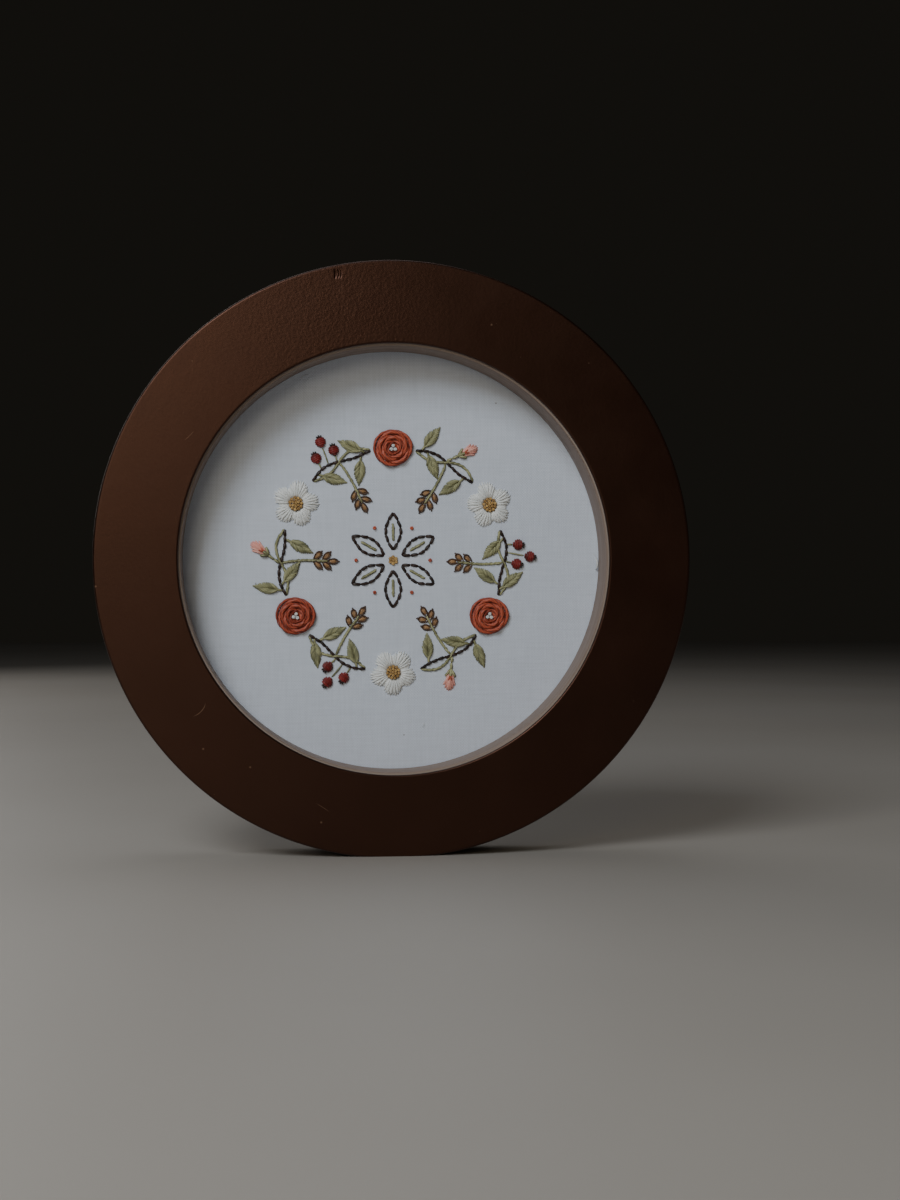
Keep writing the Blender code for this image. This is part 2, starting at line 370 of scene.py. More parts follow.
@dataclass(frozen=True)
class Scratch:
    """A fine curved scratch in the paint: part of a circle on the frame's face."""

    middle: Flat
    radius: float
    width: float
    near: Flat
    reach: float

    def mask(self, graph: Graph) -> Socket:
        """Where the scratch runs.

        Args:
            graph: The paint's graph.

        Returns:
            A socket that is 1 on the scratch and 0 elsewhere.
        """
        off_line = graph.math("ABSOLUTE", graph.less(graph.distance(self.middle), self.radius))
        line = graph.fall(off_line, 0.4 * self.width, self.width)
        return graph.times(line, graph.spot(self.near, self.reach))


@dataclass(frozen=True)
class Paint:
    """Satin chocolate paint sprayed on wood, with a faint orange-peel surface and dust.

    Clouds, dust, drift and peel are counted in lumps a metre. The peel is coarse round one spot.
    """

    dark: Colour = opaque(0.0020, 0.0007, 0.0003)
    light: Colour = opaque(0.0045, 0.0013, 0.0006)
    bare: Colour = opaque(0.30, 0.19, 0.12)
    gloss: Colour = opaque(1.0, 0.51, 0.37)
    shine: float = 1.68
    clouds: float = 26.0
    dust: float = 95.0
    dust_share: float = 0.5
    drift: float = 120.0
    drift_depth: float = 0.06 * MM
    peel: float = 1050.0
    peel_depth: float = 0.10 * MM
    face_edge: float = 0.1 * MM
    coarse_spot: Flat = (-20.0 * MM, 88.0 * MM)
    coarse_reach: tuple[float, float] = (8 * MM, 44 * MM)
    scratch_share: float = 0.55
    scratches: tuple[Scratch, ...] = (
        Scratch((-73.5 * MM, -49.4 * MM), 6.3 * MM, 0.13 * MM, (-69.1 * MM, -53.5 * MM), 3.4 * MM),
        Scratch((-90.0 * MM, 60.0 * MM), 24.0 * MM, 0.07 * MM, (-73.0 * MM, 43.0 * MM), 2.4 * MM),
        Scratch((-60.0 * MM, -140.0 * MM), 62.0 * MM, 0.07 * MM, (-26.0 * MM, -87.5 * MM), 3.0 * MM),
    )
    specks: tuple[Flat, ...] = (
        (-68.2 * MM, -66.9 * MM),
        (-26.8 * MM, -93.3 * MM),
        (-51.8 * MM, -73.5 * MM),
        (-105.4 * MM, -9.8 * MM),
        (34.0 * MM, 84.0 * MM),
    )

    def color(self, graph: Graph) -> Socket:
        """The colour of the paint, with its dust, scratches and specks.

        Args:
            graph: The paint's graph.

        Returns:
            The colour's socket.
        """
        cloudy = graph.ramp(graph.noise(self.clouds, 3.0), 0.32, 0.68)
        color = graph.blend(cloudy, self.dark, self.light)
        cells = graph.add("TexVoronoi", Vector=graph.place, Scale=self.dust).outputs["Distance"]
        color = graph.tint(color, graph.fall(cells, 0.010, 0.022), self.dust_share, self.bare)
        scratched = 0.0
        for scratch in self.scratches:
            scratched = graph.math("MAXIMUM", scratched, scratch.mask(graph))
        color = graph.tint(color, scratched, self.scratch_share, self.bare)
        return Specks(self.specks, 0.45 * MM, 0.4, self.bare).over(graph, color)

    def make(self) -> bpy.types.Material:
        """Builds the paint.

        Returns:
            The material.
        """
        graph = Graph("satin_paint")
        _, depth, _ = graph.axes
        faces = graph.ramp(graph.math("ABSOLUTE", depth), BACK_Y - self.face_edge, BACK_Y)
        near = graph.fall(graph.distance(self.coarse_spot), *self.coarse_reach)
        coarse = graph.times(faces, graph.math("MULTIPLY_ADD", near, 0.7, 0.3))
        graph.bump(graph.times(faces, graph.noise(self.drift)), self.drift_depth, 0.6)
        graph.bump(graph.times(coarse, graph.noise(self.peel)), self.peel_depth, 0.8)
        rough = graph.plus(0.32, graph.times(graph.noise(48.0, 4.0), 0.14))
        return graph.finish(self.color(graph), rough, IOR=self.shine, Specular_Tint=self.gloss)


@dataclass(frozen=True)
class BareWood:
    """Pale bare wood whose fine grain runs round the ring; a paler edge at the lip is a painted highlight."""

    light: Colour = opaque(0.300, 0.228, 0.190)
    dark: Colour = opaque(0.210, 0.155, 0.124)
    painted_edge_highlight: Colour = opaque(0.35, 0.285, 0.24)
    painted_highlight_width: float = 0.40 * MM
    painted_highlight_fade: float = 0.1 * MM
    year_rings: float = 900.0
    pores: float = 1500.0

    def grain(self, graph: Graph, radius: Socket) -> Socket:
        """Lines that run round the ring and change with the depth and the radius.

        Args:
            graph: The wood's graph.
            radius: The point's distance from the axis.

        Returns:
            A socket that is 1 in a line and 0 between lines.
        """
        across, depth, up = graph.axes
        angle = graph.math("ARCTAN2", up, across)
        bands = graph.add(
            "CombineXYZ",
            X=graph.math("COSINE", angle),
            Y=graph.times(depth, self.year_rings),
            Z=graph.math("SINE", angle),
        )
        lines = graph.add("TexNoise", {"noise_dimensions": "4D"}, Scale=1.6, Detail=4.0)
        graph.put(lines, "Vector", bands.outputs[0])
        graph.put(lines, "W", graph.times(radius, self.year_rings))
        return graph.ramp(lines.outputs["Fac"], 0.36, 0.66)

    def make(self) -> bpy.types.Material:
        """Builds the wood.

        Returns:
            The material.
        """
        graph = Graph("bare_ring_wood")
        across, _, up = graph.axes
        flat = graph.add("CombineXYZ", X=across, Z=up).outputs[0]
        radius = graph.add("VectorMath", {"operation": "LENGTH"}, Vector=flat).outputs["Value"]
        line = self.grain(graph, radius)
        pores = graph.ramp(graph.noise(self.pores), 0.55, 0.75)
        color = graph.tint(graph.blend(line, self.light, self.dark), pores, 0.25, self.dark)
        # Painted highlight: the edge at the lip is painted paler, as if it caught the light.
        start = OPENING_RADIUS - self.painted_highlight_width
        color = graph.blend(graph.ramp(radius, start, start + self.painted_highlight_fade), color, self.painted_edge_highlight)
        graph.bump(line, 0.06 * MM, 0.6)
        graph.bump(pores, 0.03 * MM, 0.5)
        return graph.finish(color, 0.62, IOR=1.45)


@dataclass(frozen=True)
class Cotton:
    """Fine white plain weave: one thread over and one under, with slubs along both ways."""

    light: Colour = opaque(0.74, 0.81, 0.94)
    dark: Colour = opaque(0.50, 0.555, 0.65)
    soiled: Colour = opaque(0.10, 0.09, 0.10)
    pitch: float = 0.50 * MM
    shake: float = 0.30 * MM
    slub_along: float = 110.0
    slub_across: float = 1700.0
    specks: tuple[Flat, ...] = ((4.0 * MM, -64.0 * MM), (-50.0 * MM, -8.6 * MM), (38.0 * MM, 58.0 * MM))

    def weave(self, graph: Graph) -> Socket:
        """The height of the woven threads.

        Args:
            graph: The material's graph.

        Returns:
            A socket from about 0 to 1.
        """
        uneven = graph.add("TexNoise", Vector=graph.place, Scale=260.0, Detail=2.0).outputs["Color"]
        offset = graph.add("VectorMath", {"operation": "SCALE"}, Vector=uneven, Scale=self.shake)
        shifted = graph.add("VectorMath", {"operation": "ADD"})
        graph.put(shifted, 0, graph.place)
        graph.put(shifted, 1, offset.outputs[0])
        split = graph.add("SeparateXYZ", Vector=shifted.outputs[0])
        turn = math.pi / self.pitch
        warp, weft = (graph.math("SINE", graph.times(split.outputs[axis], turn)) for axis in "XZ")
        return graph.math("MULTIPLY_ADD", graph.times(warp, weft), 0.5, 0.5)

    def slub(self, graph: Graph, stretch: tuple[float, float, float]) -> Socket:
        """Thick places drawn out along one way of the threads.

        Args:
            graph: The material's graph.
            stretch: The scale along each axis.

        Returns:
            A socket from 0 to 1.
        """
        mapped = graph.add("Mapping", Vector=graph.place, Scale=stretch)
        return graph.ramp(graph.noise(1.0, 3.0, mapped.outputs[0]), 0.35, 0.75)

    def make(self) -> bpy.types.Material:
        """Builds the cotton.

        Returns:
            The material.
        """
        graph = Graph("white_cotton")
        weave = self.weave(graph)
        level = self.slub(graph, (self.slub_along, self.slub_along, self.slub_across))
        upright = self.slub(graph, (self.slub_across, self.slub_along, self.slub_along))
        slubs = graph.plus(level, upright)
        fleck = graph.ramp(graph.noise(900.0), 0.72, 0.80)
        # The low places of the weave are darker as painted shade between the threads; slubs and flecks are
        # the cloth's own tone.
        shade = graph.total((graph.less(1.0, weave), 0.24), (slubs, 0.18), (fleck, 0.18))
        color = graph.blend(shade, self.light, self.dark)
        color = Specks(self.specks, 0.38 * MM, 0.6, self.soiled).over(graph, color)
        graph.bump(slubs, 0.05 * MM, 0.5)
        graph.bump(weave, 0.09 * MM, 0.55)
        return graph.finish(color, 0.92, Sheen_Weight=0.12, Sheen_Roughness=0.5)


@dataclass(frozen=True)
class ThreadFinish:
    """Stranded cotton: a soft gloss, with fine strands that turn round the thread.

    The shadow colour is painted shade in the gaps between threads, the grooves between strands and the ends
    of each stitch; it also gives each stitch its own random tone.
    """

    name: str
    color: Colour
    shadow: Colour
    painted_side_shade: float = 0.65
    roughness: float = 0.50
    strands: float = 5.0
    twist: float = 4.2
    wobble: float = 3.0
    crown: float = 0.25

    def make(self) -> bpy.types.Material:
        """Builds the thread, which reads the stitch's own UV map and shade.

        Returns:
            The material.
        """
        graph = Graph(self.name)
        uv = graph.add("SeparateXYZ", Vector=graph.add("UVMap", {"uv_map": "thread"}).outputs[0])
        turn = graph.total((uv.outputs["Y"], self.strands * TAU), (uv.outputs["X"], self.twist))
        wobble = graph.times(graph.noise(700.0), self.wobble)
        strand = graph.math("MULTIPLY_ADD", graph.math("SINE", graph.plus(turn, wobble)), 0.5, 0.5)
        # Painted shade: each thread is darker on its sides, away from its crown.
        off_crown = graph.times(graph.less(uv.outputs["Y"], self.crown), TAU)
        painted_side_mask = graph.fall(graph.math("COSINE", off_crown), 0.0, 0.9)
        # The shade attribute holds each stitch's random tone and the painted shade at its ends.
        shade = graph.add("Attribute", {"attribute_name": "shade"}).outputs["Fac"]
        fuzz = graph.noise(2600.0)
        # Painted shade in the grooves between strands.
        grooves = (graph.less(1.0, strand), 0.35)
        fluff = (graph.ramp(fuzz, 0.4, 0.8), 0.15)
        mixed = graph.total(grooves, (shade, 0.60), (painted_side_mask, self.painted_side_shade), fluff)
        graph.bump(strand, 0.07 * MM, 0.7)
        graph.bump(fuzz, 0.03 * MM, 0.4)
        color = graph.blend(mixed, self.color, self.shadow)
        return graph.finish(color, self.roughness, Sheen_Weight=0.25, Sheen_Roughness=0.4)


class Thread(Enum):
    """The colours of thread, each with the record's slot that it takes."""

    BROWN = "brown_thread"
    SAGE = "sage_thread"
    CORAL = "coral_thread"
    WHITE = "white_thread"
    GOLD = "gold_thread"
    RED = "red_thread"
    PINK = "pink_thread"
    SEED = "seed_thread"
    TAN = "tan_thread"


THREADS = {
    Thread.BROWN: ThreadFinish(
        "dark_brown_thread", opaque(0.046, 0.019, 0.012), opaque(0.004, 0.002, 0.0015)
    ),
    Thread.SAGE: ThreadFinish("sage_thread", opaque(0.56, 0.56, 0.31), opaque(0.055, 0.058, 0.021), 0.85),
    Thread.CORAL: ThreadFinish("coral_thread", opaque(0.88, 0.19, 0.09), opaque(0.20, 0.020, 0.011), 0.70),
    Thread.WHITE: ThreadFinish("white_thread", opaque(0.97, 0.99, 0.99), opaque(0.68, 0.72, 0.73), 0.50),
    Thread.GOLD: ThreadFinish("gold_thread", opaque(0.92, 0.62, 0.23), opaque(0.20, 0.085, 0.015), 0.80),
    Thread.RED: ThreadFinish("dark_red_thread", opaque(0.33, 0.022, 0.019), opaque(0.045, 0.003, 0.004)),
    Thread.PINK: ThreadFinish("salmon_thread", opaque(1.0, 0.66, 0.56), opaque(0.76, 0.22, 0.18), 0.55),
    Thread.SEED: ThreadFinish("seed_brown_thread", opaque(0.13, 0.060, 0.028), opaque(0.022, 0.010, 0.006)),
    Thread.TAN: ThreadFinish("tan_thread", opaque(0.55, 0.32, 0.15), opaque(0.14, 0.065, 0.024), 0.75),
}
SLOTS = {Thread.SEED: "brown_thread", Thread.TAN: "brown_thread"}


class Bench:
    """Edit-mode work on one object with Blender's own operators."""

    def __init__(self, made: bpy.types.Object) -> None:
        """Takes the object that is worked on.

        Args:
            made: A mesh object.
        """
        self.object = made

    @staticmethod
    def clear() -> None:
        """Leaves edit mode and deselects everything."""
        if bpy.context.mode != "OBJECT":
            bpy.ops.object.mode_set(mode="OBJECT")
        bpy.ops.object.select_all(action="DESELECT")

    @classmethod
    def last(cls, name: str) -> "Bench":
        """Names the primitive that was just added and takes it to the bench.

        Args:
            name: The piece's name.

        Returns:
            The bench.
        """
        made = bpy.context.active_object
        made.name = name
        made.data.name = name
        return cls(made)

    def alone(self) -> None:
        """Selects this object alone, in object mode."""
        Bench.clear()
        bpy.context.view_layer.objects.active = self.object
        self.object.select_set(True)

    def edit(self) -> None:
        """Opens the object in edit mode."""
        self.alone()
        bpy.ops.object.mode_set(mode="EDIT")

    def close(self) -> None:
        """Closes edit mode."""
        bpy.ops.object.mode_set(mode="OBJECT")

    def pick(self, test: Callable[[Vector], bool], mode: str = "VERT") -> None:
        """Selects what passes a test of place.

        Args:
            test: Says of each vertex whether it is picked.
            mode: VERT, EDGE or FACE. An edge or face is picked with all its vertices.
        """
        bpy.ops.mesh.select_mode(type="VERT")
        bpy.ops.mesh.select_all(action="DESELECT")
        bm = bmesh.from_edit_mesh(self.object.data)
        for vertex in bm.verts:
            vertex.select_set(bool(test(vertex.co)))
        bm.select_flush_mode()
        bmesh.update_edit_mesh(self.object.data)
        if mode != "VERT":
            bpy.ops.mesh.select_mode(type=mode)

    def whole(self) -> None:
        """Selects the whole mesh."""
        bpy.ops.mesh.select_mode(type="VERT")
        bpy.ops.mesh.select_all(action="SELECT")

    def smooth(self, degrees: float) -> None:
        """Shades it smooth, with edges sharper than the angle kept.

        Args:
            degrees: The least angle of a sharp edge.
        """
        self.alone()
        bpy.ops.object.shade_smooth_by_angle(angle=math.radians(degrees))


def settle(made: bpy.types.Object, material: bpy.types.Material, slot: str, nodes: Iterable[str]) -> None:
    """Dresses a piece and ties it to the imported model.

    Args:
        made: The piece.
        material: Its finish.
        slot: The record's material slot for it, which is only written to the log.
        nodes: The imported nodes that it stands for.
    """
    made.data.materials.clear()
    made.data.materials.append(material)
    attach(made, ROOT)
    named = list(nodes)
    if named:
        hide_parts(*named)
    LOG.info("%s: %d faces, slot %s, for %d nodes", made.name, len(made.data.polygons), slot, len(named))


@dataclass
class Corner:
    """A corner of a cross-section and the round that it gets."""

    radius: float
    depth: float
    round: float


@dataclass
class TurnedRing:
    """A ring turned about the cloth's axis from a rectangle, its corners rounded first."""

    name: str
    inner: float
    outer: float
    front: float
    back: float
    corners: list[Corner]
    steps: int = 288
    round_steps: int = 6

    def section(self) -> Bench:
        """Lays the rectangle of the cross-section beside the axis.

        Returns:
            The bench, in edit mode.
        """
        Bench.clear()
        bpy.ops.mesh.primitive_plane_add(size=1.0, location=(0, 0, 0))
        bench = Bench.last(self.name)
        bench.edit()
        bench.whole()
        bpy.ops.transform.resize(value=(self.outer - self.inner, self.back - self.front, 1.0))
        middle = ((self.inner + self.outer) / 2, (self.front + self.back) / 2, CENTRE_Z)
        bpy.ops.transform.translate(value=middle)
        return bench

    def shape_section(self, bench: Bench) -> None:
        """Has nothing to add to a plain rectangle.

        Args:
            bench: The bench with the cross-section.
        """

    def round_corners(self, bench: Bench) -> None:
        """Rounds each named corner of the cross-section.

        Args:
            bench: The bench with the cross-section.
        """
        for corner in self.corners:
            bench.pick(
                lambda co, c=corner: abs(co.x - c.radius) < NEAR and abs(co.y - c.depth) < NEAR
            )
            bpy.ops.mesh.bevel(
                offset=corner.round, segments=self.round_steps, affect="VERTICES", offset_type="OFFSET"
            )

    def turn(self, bench: Bench) -> None:
        """Spins the outline into a closed ring.

        Args:
            bench: The bench with the cross-section.
        """
        bench.whole()
        bpy.ops.mesh.select_mode(type="FACE")
        bpy.ops.mesh.select_all(action="SELECT")
        if len(bmesh.from_edit_mesh(bench.object.data).faces) > 1:
            bpy.ops.mesh.dissolve_faces()
            bpy.ops.mesh.select_all(action="SELECT")
        bpy.ops.mesh.delete(type="ONLY_FACE")
        bench.whole()
        bpy.ops.mesh.spin(steps=self.steps, angle=TAU, center=(0, 0, CENTRE_Z), axis=(0, 1, 0))
        bench.whole()
        bpy.ops.mesh.remove_doubles(threshold=1e-6)
        bpy.ops.mesh.normals_make_consistent(inside=False)

    def after_turning(self, bench: Bench) -> None:
        """Leaves a plain ring as it is.

        Args:
            bench: The bench with the turned ring.
        """

    def make(self) -> bpy.types.Object:
        """Makes the ring.

        Returns:
            The finished object.
        """
        bench = self.section()
        self.shape_section(bench)
        self.round_corners(bench)
        self.turn(bench)
        self.after_turning(bench)
        bench.close()
        bench.smooth(32.0)
        return bench.object


@dataclass
class PaintedFrame(TurnedRing):
    """The frame: its section steps in to a lip, its foot is flat, and its edge is dented."""

    lip: float = LIP_DEPTH
    opening: float = OPENING_RADIUS
    flat_start: float = 0.3 * MM
    nick: Flat = (-20.7 * MM, 101.0 * MM)
    nick_length: float = 1.5 * MM
    nick_bend: float = 0.25 * MM
    nick_strokes: tuple[tuple[float, float, float], ...] = (
        (-0.95 * MM, 0.34 * MM, 0.20 * MM),
        (0.15 * MM, 0.26 * MM, 0.12 * MM),
        (0.95 * MM, 0.24 * MM, 0.09 * MM),
    )
    patch_reach: float = 2.0 * MM
    patch_around: float = 32.0 * MM
    patch_cuts: int = 22

    def shape_section(self, bench: Bench) -> None:
        """Draws the lip in from the front part of the section, and marks where the rounds start.

        Args:
            bench: The bench with the cross-section.
        """
        back_of_lip = self.front + self.lip
        bpy.ops.mesh.bisect(plane_co=(0, back_of_lip, 0), plane_no=(0, 1, 0))
        bench.pick(lambda co: co.x < self.inner + NEAR and co.y < back_of_lip + NEAR, "EDGE")
        bpy.ops.mesh.extrude_region_move(
            TRANSFORM_OT_translate={"value": (self.opening - self.inner, 0, 0)}
        )
        clear = OUTER_ROUND + self.flat_start
        for radius in (self.outer - clear, self.opening + INNER_ROUND + self.flat_start):
            bench.whole()
            bpy.ops.mesh.bisect(plane_co=(radius, 0, 0), plane_no=(1, 0, 0))
        for depth in (self.front + clear, self.back - clear):
            bench.whole()
            bpy.ops.mesh.bisect(plane_co=(0, depth, 0), plane_no=(0, 1, 0))

    def after_turning(self, bench: Bench) -> None:
        """Cuts the flat foot and presses the small nick near the top.

        Args:
            bench: The bench with the turned ring.
        """
        bench.whole()
        bpy.ops.mesh.bisect(
            plane_co=(0, 0, 0), plane_no=(0, 0, 1), clear_inner=True, clear_outer=False, use_fill=True
        )
        self.press_nick(bench)

    def press_nick(self, bench: Bench) -> None:
        """Presses short strokes side by side into the front face.

        Args:
            bench: The bench with the turned ring.
        """
        middle = Vector((self.nick[0], self.front, CENTRE_Z + self.nick[1]))
        outwards = Vector((self.nick[0], 0, self.nick[1])).normalized()
        along = Vector((outwards.z, 0, -outwards.x))
        face = self.front + NEAR

        def inside(co: Vector, reach: float) -> bool:
            """Whether a point of the front lies within a square round the nick."""
            offset = co - middle
            return co.y < face and max(abs(offset.dot(outwards)), abs(offset.dot(along))) < reach

        for side in (-self.patch_reach, self.patch_reach):
            for normal in (outwards, along):
                bench.pick(lambda co: co.y < face and (co - middle).length < self.patch_around, "FACE")
                bpy.ops.mesh.bisect(plane_co=middle + normal * side, plane_no=normal)
        bench.pick(lambda co: inside(co, 1.01 * self.patch_reach), "FACE")
        bpy.ops.mesh.subdivide(number_cuts=self.patch_cuts)
        bm = bmesh.from_edit_mesh(bench.object.data)
        for vertex in bm.verts:
            if not inside(vertex.co, 0.98 * self.patch_reach):
                continue
            offset = vertex.co - middle
            high = offset.z / self.nick_length
            for place, width, depth in self.nick_strokes:
                off = (offset.x - place + self.nick_bend * high * high) / width
                vertex.co.y += depth * math.exp(-(off**2) - high**4)
        bmesh.update_edit_mesh(bench.object.data)


@dataclass
class StretchedCloth:
    """The cloth: a taut round sheet, faintly rippled where stitches pull and at the ring."""

    radius: float = CLOTH_RADIUS
    front: float = CLOTH_LOW.y
    back: float = CLOTH_HIGH.y
    sides: int = 240
    step: float = 1.0 * MM
    slow_waves: tuple[float, float] = (61.0, 53.0)
    slow_depth: float = 0.10 * MM
    ripples: tuple[int, int] = (23, 41)
    ripple_depth: float = 0.05 * MM
    ripple_reach: float = 5 * MM
    edge_fade: float = 4 * MM
    name: str = "stretched_cloth"
    pulls: list[tuple[Flat, float, float]] = field(default_factory=list)

    def disc(self) -> Bench:
        """A disc of rings, each inset from the last, standing upright.

        Returns:
            The bench, in edit mode.
        """
        Bench.clear()
        bpy.ops.mesh.primitive_circle_add(
            vertices=self.sides, radius=self.radius, fill_type="NGON", location=(0, 0, 0)
        )
        bench = Bench.last(self.name)
        bench.edit()
        bpy.ops.mesh.select_mode(type="FACE")
        bpy.ops.mesh.select_all(action="SELECT")
        for _ in range(int(self.radius / self.step) - 2):
            bpy.ops.mesh.inset(thickness=self.step, use_even_offset=True)
        bpy.ops.mesh.poke()
        bench.whole()
        bpy.ops.transform.rotate(
            value=-math.pi / 2, orient_axis="X", center_override=(0, 0, 0), orient_type="GLOBAL"
        )
        bpy.ops.transform.translate(value=(0, self.front, CENTRE_Z))
        return bench

    def lift(self, across: float, up: float) -> float:
        """How far the cloth stands forward of its flat place.

        Args:
            across: Distance right of the middle.
            up: Height above the middle.

        Returns:
            The lift towards the front.
        """
        radius = math.hypot(across, up)
        angle = math.atan2(up, across)
        level, upright = self.slow_waves
        slow = math.sin(across * level + 0.7) * math.sin(up * upright + 1.9) * self.slow_depth
        edge = math.exp(-(((radius - RING_BORE) / self.ripple_reach) ** 2))
        few, many = self.ripples
        ripple = edge * (math.sin(few * angle + 0.6) + 0.6 * math.sin(many * angle)) * self.ripple_depth
        total = slow + ripple
        for place, reach, strength in self.pulls:
            far = math.hypot(across - place[0], up - place[1])
            if far < 3 * reach:
                bearing = math.atan2(up - place[1], across - place[0])
                fade = math.exp(-(((far - reach) / (0.35 * reach)) ** 2))
                total += strength * fade * math.sin(9 * bearing + 40 * place[0] / MM)
        return total * min(1.0, max(0.0, (self.radius - radius) / self.edge_fade))

    def make(self) -> bpy.types.Object:
        """Makes the cloth.

        Returns:
            The finished object.
        """
        bench = self.disc()
        bm = bmesh.from_edit_mesh(bench.object.data)
        for vertex in bm.verts:
            vertex.co.y -= self.lift(vertex.co.x, vertex.co.z - CENTRE_Z)
        bm.normal_update()
        if sum(face.normal.y * face.calc_area() for face in bm.faces) > 0:
            bmesh.ops.reverse_faces(bm, faces=bm.faces)
        bmesh.update_edit_mesh(bench.object.data)
        bench.close()
        made = bench.object
        wall = made.modifiers.new("thickness", "SOLIDIFY")
        wall.thickness = self.back - self.front
        wall.offset = -1.0
        bench.alone()
        bpy.ops.object.modifier_apply(modifier=wall.name)
        bench.smooth(40.0)
        return made


@dataclass(frozen=True)
class Strand:
    """One size of thread: how wide and high it lies, and how its plies turn."""

    width: float
    height: float
    plies: int = 3
    twist: float = 5.0 * MM
    sides: int = 9
    lobe: float = 0.10


LINE = Strand(1.10 * MM, 0.86 * MM, plies=3, twist=3.2 * MM, sides=10, lobe=0.16)
STEM = Strand(1.05 * MM, 0.85 * MM, plies=3, twist=3.2 * MM, sides=9, lobe=0.15)
SATIN = Strand(0.86 * MM, 0.74 * MM, plies=2, twist=5.5 * MM, sides=8, lobe=0.07)
LEAF = Strand(0.66 * MM, 0.62 * MM, plies=2, twist=4.5 * MM, sides=7, lobe=0.08)
FINE = Strand(0.60 * MM, 0.52 * MM, plies=2, twist=3.0 * MM, sides=7, lobe=0.09)
WOVEN = Strand(1.22 * MM, 1.05 * MM, plies=3, twist=3.4 * MM, sides=12, lobe=0.19)
KNOT = Strand(0.62 * MM, 0.58 * MM, plies=2, twist=2.4 * MM, sides=7, lobe=0.10)
VINE = Strand(0.92 * MM, 0.74 * MM, plies=2, twist=2.6 * MM, sides=9, lobe=0.17)


class Skein:
    """Stitches of one colour, gathered as arrays and joined in one mesh."""

    sink = 0.35 * MM
    knot_turns = 2.2
    knot_steps = 22
    knot_tighten = 0.28

    def __init__(self, name: str, thread: Thread, face: Face = Face.FRONT, seed: int = 1) -> None:
        """Starts an empty skein.

        Args:
            name: The piece's name.
            thread: The thread's colour.
            face: The side of the cloth that it lies on.
            seed: Starts the small unevenness of the stitches.
        """
        self.name = name
        self.thread = thread
        self.face = face
        self.random = random.Random(seed)
        self.points: list[np.ndarray] = []
        self.faces: list[tuple[int, ...]] = []
        self.uvs: list[np.ndarray] = []
        self.shades: list[np.ndarray] = []
        self.count = 0

    def place(self, point: Flat, height: float) -> tuple[float, float, float]:
        """A point over the cloth in the part's frame.

        Args:
            point: Its place on the cloth.
            height: Its height off the cloth.

        Returns:
            The point.
        """
        level = CLOTH_LOW.y if self.face is Face.FRONT else CLOTH_HIGH.y
        return (point[0], level + self.face.value * height, CENTRE_Z + point[1])

    def lay(self, path: Sequence[Sequence[float]], strand: Strand, ends: float = 0.35,
            swell: Sequence[float] | None = None) -> None:
        """Lays one length of thread along a path, closed at both ends.

        Args:
            path: The middle line, in the part's frame.
            strand: The size of the thread.
            ends: How wide it is at its ends, as a share of its width.
            swell: How much it swells at each point of the path, or None for an even thread.
        """
        line = np.asarray(path, float)
        count, sides = len(line), strand.sides
        along = np.gradient(line, axis=0)
        along /= np.linalg.norm(along, axis=1, keepdims=True) + 1e-12
        outward = np.array([0.0, self.face.value, 0.0])
        across = np.cross(along, outward)
        across /= np.linalg.norm(across, axis=1, keepdims=True) + 1e-12
        up = np.cross(across, along)
        run = np.concatenate([[0.0], np.cumsum(np.linalg.norm(np.diff(line, axis=0), axis=1))])
        share = run / max(run[-1], 1e-9)
        taper = ends + (1 - ends) * (1 - np.abs(2 * share - 1) ** 4)
        if swell is not None:
            taper = taper * np.asarray(swell, float)
        angle = TAU * np.arange(sides) / sides
        start = self.random.uniform(0, TAU)
        turn = strand.plies * angle[None, :] - TAU * run[:, None] / strand.twist + start
        size = (1 + strand.lobe * np.cos(turn)) * taper[:, None]
        wide = (size * np.cos(angle)[None, :])[..., None] * across[:, None, :] * strand.width / 2
        high = (size * np.sin(angle)[None, :])[..., None] * up[:, None, :] * strand.height / 2
        body = (line[:, None, :] + wide + high).reshape(-1, 3)
        self.add_body(body, line[0], line[-1], count, sides)
        self.add_looks(run, strand, angle, count)

    def add_body(
        self, body: np.ndarray, first: np.ndarray, last: np.ndarray, count: int, sides: int
    ) -> None:
        """Adds a tube's points and faces, with a point that closes each end.

        Args:
            body: The points of all rings, in order.
            first: The middle of the first ring.
            last: The middle of the last ring.
            count: How many rings there are.
            sides: How many points a ring has.
        """
        base = self.count
        start, stop = base + count * sides, base + count * sides + 1
        for k in range(count - 1):
            lower, upper = base + k * sides, base + (k + 1) * sides
            for i in range(sides):
                j = (i + 1) % sides
                self.faces.append((lower + i, upper + i, upper + j, lower + j))
        end = base + (count - 1) * sides
        for i in range(sides):
            j = (i + 1) % sides
            self.faces.append((start, base + i, base + j))
            self.faces.append((stop, end + j, end + i))
        self.points.append(np.concatenate([body, [first], [last]]))
        self.count = stop + 1

    def add_looks(self, run: np.ndarray, strand: Strand, angle: np.ndarray, count: int) -> None:
        """Adds the thread's own coordinates and its shade: a random tone, with painted shade at the ends.

        Args:
            run: The length to each ring.
            strand: The size of the thread.
            angle: The angle of each point of a ring.
            count: How many rings there are.
        """
        length = np.repeat(run / strand.width, len(angle))
        girth = np.tile(angle / TAU, count)
        ends = [[0.0, 0.0], [run[-1] / strand.width, 0.0]]
        self.uvs.append(np.concatenate([np.stack([length, girth], 1), ends]))
        tone = self.random.uniform(0.0, 0.75)
        share = run / max(run[-1], 1e-9)
        # Painted shade: darker towards both ends, where the stitch goes into the cloth.
        tone_and_painted_end_shade = tone + 0.45 * np.abs(2 * share - 1) ** 8
        self.shades.append(np.concatenate([np.repeat(tone_and_painted_end_shade, len(angle)), tone_and_painted_end_shade[[0, -1]]]))

    def shake(self, reach: float) -> float:
        """A random amount, up to a reach either way."""
        return self.random.uniform(-reach, reach)

